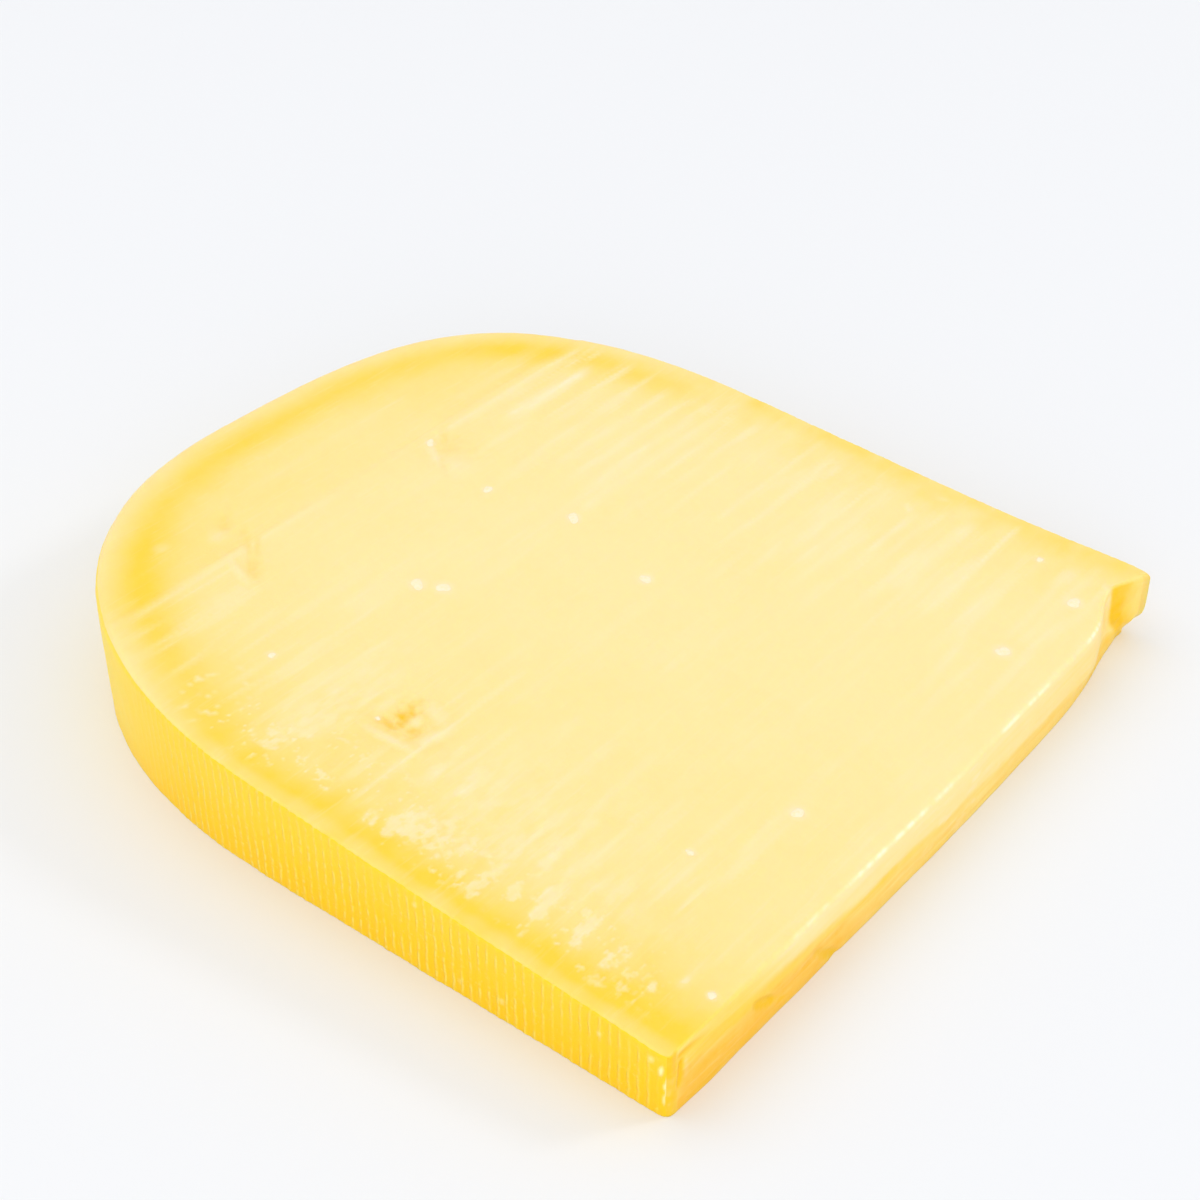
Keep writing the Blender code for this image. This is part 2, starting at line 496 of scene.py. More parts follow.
@dataclass(frozen=True)
class Smear:
    """A pale torn patch near the front rind that trails off along the knife's path."""

    from_tip: float
    top: float
    bottom: float
    width: float
    pale: float

    def field(self, from_tip: Array, across: Array, grain: Grain) -> Array:
        """Strength of the patch before it is broken into lumps.

        Args:
            from_tip: distances from the tip.
            across: places across the slice.
            grain: bends the patch.

        Returns:
            The strength at each point.
        """
        sway = 0.45 * grain.sample(across / 6.0 + self.from_tip, across * 0.0)
        body = bell((from_tip - self.from_tip - sway) / self.width)
        length = self.top - self.bottom
        rise = smooth_step((self.top - across + 0.6) / 1.4)
        fade = smooth_step((across - self.bottom + 0.75 * length) / (1.5 * length)) ** 0.7
        return self.pale * body * rise * fade


FRONT_BAND = RindBand(0.66, 17.0, 0.42, 2.7, 1.2, 3.2)
BACK_BAND = RindBand(0.46, 8.0, 0.12, 1.3, 1.2, 2.4)
RIM_BAND = RindBand(0.70, 13.5, 0.42, 6.0, 2.3, 3.4, 0.52, 2.7)

# Each row: place on the face (two), half sizes (two), depth, turn, raggedness, steepness, tone.
EYES = tuple(Hollow(*row) for row in (
    (55.0, 34.2, 4.3, 3.7, 0.20, 0.0, 0.25, 1.0, 0.26),
    (56.4, 33.6, 1.15, 2.7, 0.28, 4.0, 0.36, 1.3, 0.86),
    (57.0, 36.0, 1.50, 0.9, 0.22, 15.0, 0.36, 1.3, 0.62),
    (53.7, 35.1, 1.10, 1.3, 0.17, 10.0, 0.42, 1.3, 0.50),
    (91.3, 25.6, 2.10, 1.2, 0.26, -30.0, 0.2, 1.1, 0.42),
    (95.2, 22.8, 3.00, 0.6, 0.18, -40.0, 0.3, 1.0, 0.34),
    (93.6, 22.2, 2.20, 0.5, 0.12, -44.0, 0.3, 1.0, 0.24),
    (100.9, 21.2, 1.70, 0.8, 0.20, -52.0, 0.2, 1.1, 0.28),
    (90.7, -13.2, 3.6, 3.0, 0.28, 0.0, 0.2, 0.8, 0.18),
    (93.0, -14.6, 2.6, 0.7, 0.16, -45.0, 0.2, 1.0, 0.28),
    (88.9, -9.6, 2.4, 0.6, 0.14, -35.0, 0.2, 1.0, 0.28),
))
LIPS = tuple(Hollow(*row) for row in (
    (51.0, 34.2, 0.8, 2.6, 0.10, -12.0, 0.4, 1.0, 0.75),
    (54.6, 38.2, 3.6, 0.60, 0.10, 4.0, 0.4, 1.0, 0.60),
    (53.6, 31.0, 1.9, 0.9, 0.09, -25.0, 0.5, 1.0, 0.60),
    (59.4, 33.8, 0.7, 1.8, 0.05, 5.0, 0.4, 1.0, 0.50),
    (54.7, 33.6, 0.7, 1.0, 0.16, 0.0, 0.4, 1.2, 0.50),
    (91.9, 27.5, 3.0, 0.6, 0.10, -18.0, 0.3, 0.9, 0.55),
    (94.0, 24.5, 2.6, 0.45, 0.08, -42.0, 0.3, 0.9, 0.30),
    (99.3, 23.8, 1.1, 1.4, 0.09, 20.0, 0.4, 0.9, 0.45),
    (103.0, 30.9, 0.7, 0.9, 0.05, 0.0, 0.3, 0.9, 0.40),
    # Pale crescent on the wide dent's raised edge: a painted highlight.
    (91.6, -10.6, 2.9, 0.55, 0.10, -31.0, 0.3, 0.9, 0.75),
    (87.0, -10.4, 2.2, 1.8, 0.05, -20.0, 0.3, 0.7, 0.45),
    (97.0, -15.0, 2.2, 2.0, 0.04, 20.0, 0.3, 0.7, 0.15),
    (33.8, -46.7, 1.0, 0.5, 0.06, -50.0, 0.3, 1.2, 0.55),
    (30.9, -51.8, 0.8, 0.5, 0.04, 20.0, 0.3, 1.2, 0.35),
    (48.0, -49.0, 0.7, 0.5, 0.04, 0.0, 0.3, 1.2, 0.35),
    # Bright spot on the upper face at the torn notch's border: a painted highlight.
    (3.1, -48.2, 1.0, 0.5, 0.05, -40.0, 0.2, 1.0, 0.60),
    (88.5, 32.8, 1.3, 3.2, 0.05, 0.0, 0.5, 0.9, 0.50),
    (57.8, -42.5, 3.2, 3.0, 0.03, 0.0, 0.5, 0.7, 0.30),
))
TIP_HOLLOWS = tuple(Hollow(*row) for row in (
    (37.8, 3.80, 2.2, 0.66, 0.22, 29.0, 0.22, 3.0, 2.5),
    (35.2, 2.3, 1.7, 0.4, 0.10, 34.0, 0.3, 1.0, 0.7),
    (25.3, 1.6, 2.9, 0.6, 0.35, 38.0, 0.22, 1.5, 0.9),
    (45.5, 1.3, 3.6, 0.6, 0.10, 2.0, 0.3, 1.0, 0.25),
))
CRUMBS = tuple(Hollow(*row) for row in (
    (0.9, 7.0, 0.35, 0.65, 0.05, 12.0, 0.3, 1.6, 1.0),
    (0.2, 4.7, 0.30, 0.50, 0.05, 0.0, 0.3, 1.6, 0.9),
    (0.3, 2.6, 0.28, 0.70, 0.05, 0.0, 0.3, 1.6, 0.8),
    (2.4, 7.9, 0.40, 0.40, 0.03, 0.0, 0.3, 1.4, 0.6),
    (9.3, 7.0, 0.30, 0.30, 0.04, 0.0, 0.3, 1.4, 0.6),
    (23.0, 2.9, 0.32, 0.27, 0.04, 0.0, 0.3, 1.4, 0.6),
    (29.1, 2.1, 0.30, 0.27, 0.04, 0.0, 0.3, 1.4, 0.5),
    (35.5, 10.2, 0.33, 0.29, 0.04, 0.0, 0.3, 1.4, 0.55),
))
# Each row: from the tip, start and end across, width, paleness, crispness, raggedness.
STREAKS = tuple(Streak(*row) for row in (
    (6.3, -28.0, -54.0, 0.75, 0.45), (8.9, -28.0, -50.0, 0.80, 0.45, 1.6),
    (15.1, -33.0, -51.0, 0.45, 0.45), (19.5, -29.0, -55.0, 0.55, 0.85, 1.8),
    (24.9, -28.0, -51.0, 0.95, 0.50), (32.2, -27.0, -47.0, 0.65, 0.85, 2.0),
    (37.9, -23.0, -50.0, 0.95, 0.45), (40.1, -25.0, -51.0, 0.40, 0.65, 1.6),
    (43.5, -23.0, -42.0, 0.60, 0.30), (48.0, -30.0, -46.0, 0.50, 0.25),
    (52.2, -24.0, -55.0, 0.50, 0.75, 1.5), (67.3, -12.0, -54.0, 0.90, 0.55),
    (70.1, -16.0, -53.0, 0.95, 0.60, 1.5), (73.2, -16.0, -49.0, 0.65, 0.55),
    (76.8, -19.0, -50.0, 0.95, 0.55, 1.4), (80.8, -18.0, -47.0, 0.80, 0.45),
    (84.0, -24.0, -44.0, 0.70, 0.35), (89.6, -22.0, -46.0, 1.20, 1.00, 1.3),
    (94.3, -12.0, -50.0, 0.95, 0.75, 2.2, 0.25), (94.6, 46.0, 4.0, 0.80, 0.40, 2.0, 0.30),
    (98.5, -22.0, -40.0, 0.80, 0.30), (104.4, 16.0, -20.0, 1.30, 0.22, 2.0),
    (12.8, 14.0, 3.0, 0.28, 0.45), (18.7, -3.0, -15.0, 0.40, 0.30),
    (69.9, 9.0, -8.0, 0.35, 0.40), (50.9, 51.0, 16.0, 0.36, 0.85),
    (72.4, 46.0, 30.0, 0.40, 0.30), (76.0, 46.0, 28.0, 0.50, 0.45),
    (82.0, 40.0, 26.0, 0.60, 0.25), (34.0, 36.0, 18.0, 0.80, 0.30),
    (29.0, 36.0, 16.0, 0.80, 0.30), (22.0, 36.0, 20.0, 0.80, 0.30),
    (40.5, 36.0, 18.0, 1.10, 0.30),
))
# Each row: from the tip, top and bottom across, width, paleness.
SMEARS = tuple(Smear(*row) for row in (
    (5.2, 46.6, 43.0, 0.8, 0.85), (7.6, 50.0, 46.0, 0.8, 0.75), (10.8, 42.0, 37.0, 1.3, 0.55),
    (12.6, 52.5, 44.0, 1.6, 0.85), (17.3, 49.6, 47.6, 1.1, 1.25), (17.8, 47.4, 38.0, 1.0, 1.05),
    (21.0, 46.5, 42.0, 1.1, 0.75), (23.2, 52.5, 48.0, 0.6, 0.85), (24.0, 49.4, 34.0, 1.25, 1.25),
    (27.2, 49.0, 42.0, 1.5, 0.90), (30.9, 51.8, 38.0, 1.35, 1.10), (34.0, 51.5, 47.0, 0.5, 0.80),
    (36.3, 49.5, 32.0, 1.8, 0.90), (39.6, 50.5, 33.0, 2.0, 0.95), (42.8, 49.5, 38.0, 1.5, 0.90),
    (44.6, 50.8, 46.0, 1.1, 1.10), (47.4, 51.0, 46.5, 1.0, 1.10), (47.0, 42.2, 35.0, 1.1, 1.10),
    (53.5, 50.0, 44.0, 0.8, 0.60), (60.0, 48.2, 46.3, 1.1, 1.00), (61.8, 45.0, 31.0, 1.6, 0.85),
    (65.2, 49.5, 30.0, 1.9, 1.10), (68.0, 44.0, 32.0, 1.2, 0.85), (15.6, 43.0, 33.0, 1.4, 0.60),
    (20.4, 41.5, 31.0, 1.5, 0.65), (27.6, 42.5, 30.0, 1.7, 0.85), (33.2, 46.0, 31.0, 1.6, 0.80),
    (42.6, 40.5, 31.0, 1.7, 0.75), (50.6, 46.5, 39.0, 1.2, 0.60),
))
# Each row: from the tip, across, radius, stretch, turn.
CRYSTALS = tuple(Crystal(*row) for row in (
    (10.7, 15.5, 0.90), (51.2, -8.0, 0.90), (66.9, -12.1, 0.85, 1.6, -55.0),
    (69.7, 11.8, 1.00), (72.7, 13.6, 0.95, 1.3, -35.0), (80.0, -9.1, 0.65, 1.4, -55.0),
    (76.3, 36.7, 0.55), (58.5, 36.3, 0.33), (93.7, -12.3, 0.60, 1.8, -45.0),
    (7.5, -27.6, 1.05), (5.3, -42.8, 1.05), (16.3, 29.3, 0.45, 1.4, 20.0),
    (1.9, 44.9, 0.50, 1.3, -20.0), (13.5, -48.3, 0.55),
))


@dataclass
class Relief:
    """Heights and tones of one point set on a face."""

    height: Array
    gold: Array
    pale: Array
    deep: Array

    def clipped(self) -> "Relief":
        """The same face with every tone held between 0 and 1."""
        tones = (np.clip(tone, 0.0, 1.0) for tone in (self.gold, self.pale, self.deep))
        return Relief(self.height, *tones)


@dataclass(frozen=True)
class TornEdge:
    """Pale patches that the knife tore near the front, and the small flecks around them."""

    half_width: float
    beyond: Ease = Ease(6.0, 10.0)
    off_rind: Ease = Ease(2.0, 1.5)
    lumps: Weave = Weave(1.0, 0.75, 0.85, 3)
    runs: Weave = Weave(1.0, 0.95, 2.4, 3, 50.0)
    broad: Weave = Weave(0.25, 3.0, 5.0, 2, 40.0)
    threshold: float = 0.52
    softness: float = 0.60
    veil_near: float = 0.25
    veil_most: float = 0.75
    flecks_from: Ease = Ease(2.2, 2.0)
    flecks_to: Ease = Ease(9.0, 9.0)
    flecks_off_tip: Ease = Ease(1.0, 15.0)
    flecks_end: float = 80.0
    clusters: Weave = Weave(0.45, 5.0, 3.0, 2, 70.0)
    specks: Weave = Weave(1.0, 0.55, 0.75, 2, 30.0)
    speck_cut: Ease = Ease(0.42, 0.25)

    def tones(self, from_tip: Array, across: Array, grain: Grain,
              fine: Grain) -> tuple[Array, Array]:
        """Where the patches and flecks lie.

        Args:
            from_tip: distances from the tip.
            across: places across the slice.
            grain: broad noise.
            fine: fine noise.

        Returns:
            Strength of the patches, and strength of the flecks.
        """
        inwards = self.half_width - across
        far = self.beyond(inwards)
        total = sum(smear.field(from_tip, across, grain) for smear in SMEARS)
        runs = self.runs(fine, from_tip, across)
        lumps = self.lumps(fine, from_tip, across) * (1.0 - far) + runs * far
        lumped = total + 0.85 * lumps + self.broad(grain, from_tip, across) - self.threshold
        patches = smooth_step(lumped / (self.softness + self.softness * far) + 0.1)
        veil = np.clip(total * (0.62 + 0.9 * runs), 0.0, self.veil_most)
        veil = veil * (self.veil_near + (1.0 - self.veil_near) * far)
        window = self.flecks_from(inwards) * (1.0 - self.flecks_to(inwards))
        window = window * self.flecks_off_tip(from_tip) * (from_tip < self.flecks_end)
        specks = self.specks(fine, from_tip, across) + self.clusters(grain, from_tip, across)
        return (np.maximum(patches, veil) * self.off_rind(inwards),
                self.speck_cut(specks) * window)


@dataclass(frozen=True)
class KnifeLines:
    """Faint lines left all over by the knife, stronger towards the back."""

    half_width: float
    weave: Weave = Weave(1.0, 1.5, 17.0, 3, 11.0)
    cut: Ease = Ease(0.02, 0.55)
    back: Ease = Ease(8.0, 24.0)
    front: Ease = Ease(12.0, 20.0)
    rind_gap: float = 4.0
    front_fade: float = 9.0
    back_fade: float = 4.0
    near_rim: Ease = Ease(98.0, 8.0)

    def tone(self, from_tip: Array, across: Array, fine: Grain) -> Array:
        """How pale the lines are.

        Args:
            from_tip: distances from the tip.
            across: places across the slice.
            fine: fine noise.

        Returns:
            The paleness at each point.
        """
        strength = 0.16 + 0.38 * self.back(-across) + 0.26 * self.front(across)
        inwards = self.half_width - np.abs(across)
        fade = np.where(across > 0.0, self.front_fade, self.back_fade)
        clear = smooth_step((inwards - self.rind_gap) / fade)
        clear = clear * (1.0 - 0.8 * self.near_rim(from_tip))
        return strength * clear * self.cut(self.weave(fine, from_tip, across))


@dataclass
class UpperFace:
    """The knife-cut upper face: its slant, its knife marks, its eyes and its dents."""

    outline: Outline
    tip_thickness: float
    rim_thickness: float
    rind_points: OutlinePoints
    swell: Weave = Weave(0.10, 26.0, 26.0, 2)
    drag: Weave = Weave(0.022, 1.1, 24.0)
    step_at: float = 95.6
    step_drop: float = 0.16
    step_width: float = 0.5
    step_run: float = 14.0
    corner_lift: float = 0.8
    corner_lift_reach: float = 15.0
    streak_lift: float = 0.05
    flake: float = 0.07
    flake_lumps: Weave = Weave(1.0, 0.8, 1.0, 2)
    rim_share: Ease = Ease(60.0, 34.0)
    off_rind: Ease = Ease(4.0, 12.0)
    band_drag: Weave = Weave(0.14, 2.1, 7.0, 2, 80.0)
    band_cloud: Weave = Weave(0.15, 3.4, 3.4, 2, 20.0)
    floor_lumps: Weave = Weave(1.0, 0.9, 0.9, 2)
    floor_tone: Weave = Weave(0.6, 1.0, 1.0, 2, 9.0)
    grain: Grain = Grain(11)
    fine: Grain = Grain(23)

    def __post_init__(self) -> None:
        """Lay out the rind's points for the nearest-rind question."""
        self.torn_edge = TornEdge(self.outline.half_width)
        self.lines = KnifeLines(self.outline.half_width)
        on_rind = self.rind_points.side != Side.TIP
        self.rind = self.rind_points.place[on_rind]
        self.rind_side = self.rind_points.side[on_rind]
        self.tree = nearest_tree(self.rind)

    def plane(self, from_tip: Array) -> Array:
        """Height of the knife's plane."""
        rise = self.rim_thickness - self.tip_thickness
        return self.tip_thickness + rise * from_tip / self.outline.reach

    def rind_distance(self, from_tip: Array, across: Array) -> tuple[Array, Array, Array]:
        """How far each point is from the rind.

        Args:
            from_tip: distances from the tip.
            across: places across the slice.

        Returns:
            The distance, the nearest rind's side, and how much of a rim it is there.
        """
        found = [self.tree.find((x, y, 0.0)) for x, y in zip(from_tip, across)]
        nearest = np.array([hit[1] for hit in found])
        distance = np.array([hit[2] for hit in found])
        return distance, self.rind_side[nearest], self.rim_share(self.rind[nearest, 0])

    def rind_gold(self, from_tip: Array, across: Array) -> Array:
        """How golden the paste is.

        Args:
            from_tip: distances from the tip.
            across: places across the slice.

        Returns:
            Share of the rind's colour at each point.
        """
        distance, side, rim = self.rind_distance(from_tip, across)
        steady = 1.0 - 0.65 * rim
        wander = 1.0 + 0.26 * steady * self.grain.rough(from_tip / 6.0, across / 8.0)
        wandered = distance * wander
        flat = np.where(side == Side.FRONT, FRONT_BAND.gold(wandered), BACK_BAND.gold(wandered))
        gold = flat * (1.0 - rim) + RIM_BAND.gold(wandered) * rim
        near = 1.0 - self.off_rind(distance)
        uneven = (self.band_drag(self.fine, from_tip, across)
                  + self.band_cloud(self.grain, from_tip, across))
        corner = bell((from_tip - 7.0) / 7.0) * bell((across - 48.0) / 4.5)
        return gold + near * steady * uneven + 0.20 * corner

    def add_step(self, from_tip: Array, across: Array, relief: Relief) -> None:
        """Let the face drop a little where the knife changed its course.

        Args:
            from_tip: distances from the tip.
            across: places across the slice.
            relief: the face so far, which is changed.
        """
        past = from_tip - self.step_at - 0.35 * self.grain.sample(across / 30.0, across * 0.0)
        over = smooth_step(past / self.step_width)
        relief.height = relief.height - self.step_drop * over * (1 - smooth_step(past / self.step_run))
        beyond = over * (1.0 - Ease(6.0, 9.0)(past))
        relief.gold = relief.gold + (0.03 + 0.12 * smooth_step(np.abs(across) / 40.0)) * beyond
        relief.pale = relief.pale * (1.0 - 0.6 * over)

    def add_streaks(self, from_tip: Array, across: Array, relief: Relief) -> None:
        """Raise the knife's streaks and the torn patches and flecks.

        Args:
            from_tip: distances from the tip.
            across: places across the slice.
            relief: the face so far, which is changed.
        """
        clear = Ease(self.outline.half_width - 1.5, -7.0)(across)
        for streak in STREAKS:
            mark = streak.mark(from_tip, across, self.grain) * clear
            relief.height = relief.height + self.streak_lift * streak.pale * mark
            relief.pale = np.maximum(relief.pale, streak.pale * mark)
        patches, flecks = self.torn_edge.tones(from_tip, across, self.grain, self.fine)
        lumps = 0.4 + 0.6 * self.flake_lumps(self.fine, from_tip, across)
        relief.height = relief.height + patches * lumps * self.flake
        relief.height = relief.height + flecks * self.flake
        relief.pale = np.maximum(relief.pale, np.maximum(0.68 * patches, 0.60 * flecks))

    def add_eyes(self, from_tip: Array, across: Array, relief: Relief) -> None:
        """Sink the eyes and dents, raise their lips and whiten the paste round the crystals.

        Args:
            from_tip: distances from the tip.
            across: places across the slice.
            relief: the face so far, which is changed.
        """
        lumps = self.floor_lumps(self.fine, from_tip, across)
        tone = np.clip(0.75 + self.floor_tone(self.fine, from_tip, across), 0.0, 1.3)
        for eye in EYES:
            part = eye.shape(from_tip, across, self.grain)
            floor = eye.ragged * eye.depth * 0.6 * lumps
            relief.height = relief.height - part * (eye.depth + floor)
            relief.deep = np.maximum(relief.deep, eye.tone * part * tone)
            relief.pale = relief.pale * (1.0 - 0.8 * part)
        for lip in LIPS:
            part = lip.shape(from_tip, across, self.grain)
            relief.height = relief.height + lip.depth * part
            relief.pale = np.maximum(relief.pale, lip.tone * part)
            relief.deep = relief.deep * (1.0 - 0.8 * part)
        for crystal in CRYSTALS:
            off = np.hypot(from_tip - crystal.from_tip, across - crystal.across)
            halo = 0.85 * bell(np.square(off / (crystal.radius * 1.35)))
            relief.pale = np.maximum(relief.pale, halo)

    def shape(self, from_tip: Array, across: Array) -> Relief:
        """Everything the upper face shows.

        Args:
            from_tip: distances from the tip.
            across: places across the slice.

        Returns:
            Heights and tones.
        """
        height = self.plane(from_tip) + self.swell(self.grain, from_tip, across)
        height = height + self.drag(self.fine, from_tip, across)
        off_corner = np.hypot(from_tip, across + self.outline.half_width)
        height = height + self.corner_lift * bell(off_corner / self.corner_lift_reach)
        relief = Relief(height, self.rind_gold(from_tip, across),
                        self.lines.tone(from_tip, across, self.fine), np.zeros_like(from_tip))
        self.add_step(from_tip, across, relief)
        self.add_streaks(from_tip, across, relief)
        self.add_eyes(from_tip, across, relief)
        return relief.clipped()


@dataclass(frozen=True)
class Crack:
    """The slit between rind and paste near the front corner, bent over under the edge."""

    width: float = 0.40
    depth: float = 0.24
    slit_at: float = 52.7
    slit_lean: float = 0.16
    slit_middle: float = 6.3
    slit_from: Ease = Ease(3.1, 1.0)
    slit_to: Ease = Ease(7.6, -0.8)
    fold_height: float = 7.95
    fold_bend: float = 0.045
    fold_start: float = 51.8
    fold_run: float = 9.0
    fold_outer: Ease = Ease(53.6, -0.8)
    fold_inner: Ease = Ease(47.0, 5.0)

    def shape(self, across: Array, height: Array) -> Array:
        """How deep in the crack each point of the tip face lies.

        Args:
            across: places along the face.
            height: heights on it.

        Returns:
            0 outside to 1 in the middle of the slit.
        """
        slit_at = self.slit_at + self.slit_lean * (self.slit_middle - height)
        slit = bell((across - slit_at) / self.width)
        slit = slit * self.slit_from(height) * self.slit_to(height)
        sag = np.square(np.clip(self.fold_start - across, 0.0, self.fold_run))
        fold_at = self.fold_height - self.fold_bend * sag / 2.0
        fold = bell((height - fold_at) / (1.1 * self.width))
        fold = fold * self.fold_outer(across) * self.fold_inner(across)
        return np.maximum(slit, 0.75 * fold)


@dataclass
class TipFace:
    """The thin upright end: moist along its upper edge, which also carries a painted highlight; amber
    below, partly painted shade near the floor; torn at its far corner.
    """

    outline: Outline
    thickness: float
    crack: Crack = Crack()
    lean: float = 0.20
    waves: Weave = Weave(0.20, 11.0, 7.0, 2)
    drags: Weave = Weave(0.04, 7.0, 0.8)
    cloud: Weave = Weave(1.0, 6.0, 1.6, 3, 60.0)
    lines: Weave = Weave(1.0, 9.0, 0.55, 2)
    border_height: float = 6.9
    border_slope: float = 0.040
    scuffs: Weave = Weave(1.0, 3.4, 0.8, 3, 5.0)
    near_front: Ease = Ease(31.0, 12.0)
    front: Ease = Ease(2.0, 30.0)
    back: Ease = Ease(14.0, 30.0)
    foot: Ease = Ease(3.4, -3.0)
    rind_from: Ease = Ease(53.0, 0.8)
    chips: Weave = Weave(1.0, 0.6, 1.1, 2, 3.0)
    torn_lumps: Weave = Weave(1.0, 1.4, 1.6, 3)
    # Stretches of the upper edge with the painted highlight and lower roughness: start, end and
    # strength.
    wet_glint_stretches: tuple[tuple[float, float, float], ...] = (
        (3.5, 22.5, 1.0), (-4.0, 3.5, 0.6), (-27.0, -13.0, 0.85), (-42.5, -36.0, 1.0),
        (24.0, 33.0, 0.45),
    )
    grain: Grain = Grain(37)
    fine: Grain = Grain(41)

    def painted_glint(self, across: Array) -> Array:
        """Where the upper edge is moist and carries a painted highlight, broken into beads.

        Args:
            across: places along the face.

        Returns:
            How strong the painted highlight and the moistness are at each place.
        """
        shine = 0.10 * Ease(40.0, -12.0)(across)
        for start, end, strength in self.wet_glint_stretches:
            run = Ease(start, 2.0)(across) * Ease(end, -2.0)(across)
            shine = np.maximum(shine, strength * run)
        beads = smooth_step(0.60 + 1.1 * self.fine.rough(across / 0.55, across * 0.0, 2))
        return shine * (0.30 + 0.70 * beads)

    def tones(self, across: Array, height: Array) -> tuple[Array, Array, Array]:
        """Golden, amber and pale shares of the cut face; part of the amber is painted shade near the
        floor and part of the pale is a painted highlight along the top.

        Args:
            across: places along the face.
            height: heights on it.

        Returns:
            The three shares.
        """
        cloud = self.cloud(self.grain, across, height)
        lines = self.lines(self.fine, across, height)
        border = self.border_height - self.border_slope * (self.outline.half_width - across)
        border = border + 0.6 * cloud
        under = smooth_step((border - height) / 1.1 + 0.25)
        seam = bell((height - border + 0.7) / 0.8) * Ease(-2.0, 14.0)(across)
        near, front = self.near_front(across), self.front(across)
        back, foot = self.back(-across), self.foot(height)
        # Amber is partly the face's own colour and partly painted shade low on the upright face; the
        # foot term adds painted shade nearest the floor.
        amber = under * (0.16 + 0.62 * front + 0.10 * back) + foot * (0.18 + 0.16 * front)
        amber = amber * (1.0 + 0.40 * cloud) + 0.26 * lines * under
        amber = amber * (1.0 - 0.65 * seam)
        gold = 0.20 + 0.60 * near * (1.0 - under) + 0.38 * under + 0.20 * back
        gold = gold + 0.14 * lines + 0.35 * seam
        scuffs = Ease(0.20, 0.4)(self.scuffs(self.fine, across, height))
        pale = 0.75 * scuffs * (0.15 + 0.85 * bell((across + 4.0) / 13.0)) * (1.0 - 0.5 * under)
        # Paleness along the top of the face, just under its upper edge, is a painted highlight.
        rim = bell((height - self.thickness + 0.6) / 0.8)
        return gold, amber, np.maximum(pale, 0.35 * rim * (1.0 - 0.85 * near))

    def add_openings(self, across: Array, height: Array, relief: Relief) -> None:
        """Open the crack and the eyes.

        Args:
            across: places along the face.
            height: heights on it.
            relief: the face so far, which is changed.
        """
        crack = self.crack.shape(across, height)
        relief.height = relief.height - self.crack.depth * crack
        # The slit's deep colour is partly the torn paste's own colour and partly painted shade inside
        # the narrow slit.
        relief.deep = np.clip(1.5 * crack, 0.0, 1.0)
        lip = bell((across - self.crack.fold_start) / 0.35) * Ease(3.6, 1.4)(height)
        lip = 0.20 * lip * (1.0 - relief.deep) * Ease(7.4, -0.8)(height)
        relief.pale = np.maximum(relief.pale, lip)
        for hollow in TIP_HOLLOWS:
            part = hollow.shape(across, height, self.grain)
            relief.height = relief.height - part * hollow.depth
            relief.deep = np.maximum(relief.deep, hollow.tone * part)

    def relief(self, across: Array, height: Array, top: Array) -> tuple[Relief, Array]:
        """What the tip face shows.

        Args:
            across: places along the face.
            height: heights on it.
            top: height of its upper edge at each place.

        Returns:
            How far the face is pushed out with its tones, and its amber share.
        """
        share = np.clip(height / top, 0.0, 1.0)
        push = self.waves(self.grain, across, height) + self.drags(self.fine, across, height)
        gold, amber, pale = self.tones(across, height)
        relief = Relief(push - self.lean * share ** 2.5, gold, pale, np.zeros_like(across))
        self.add_openings(across, height, relief)
        notch = self.outline.notch_end + 2.4 * Ease(5.5, -5.5)(height)
        torn = smooth_step((-across - notch + 0.4) / 0.8)
        outer = smooth_step((-across - notch - 0.8) / 4.2)
        rough = self.torn_lumps(self.fine, across, height)
        rind = self.rind_from(across)
        chips = Ease(0.12, 0.2)(self.chips(self.fine, across, height)) * Ease(53.7, 0.4)(across)
        relief.height = relief.height + torn * 0.22 * rough
        relief.deep = np.maximum(relief.deep, torn * (0.85 - 0.85 * outer + 0.25 * rough))
        relief.deep = np.maximum(relief.deep, 0.85 * rind)
        relief.gold = np.maximum(relief.gold, torn * (0.85 - 0.25 * outer))
        relief.gold = relief.gold + (1.0 - relief.gold) * 0.85 * rind
        relief.pale = np.maximum(relief.pale * (1.0 - torn), 0.9 * rind * chips)
        amber = amber * (1.0 - torn) * (1.0 - rind)
        return relief.clipped(), np.clip(amber, 0.0, 1.0)


@dataclass
class Ring:
    """One closed row of wall points with its tones."""

    place: Array
    height: Array
    ribbed: Array
    amber: Array
    crumbs: Array
    face: Relief


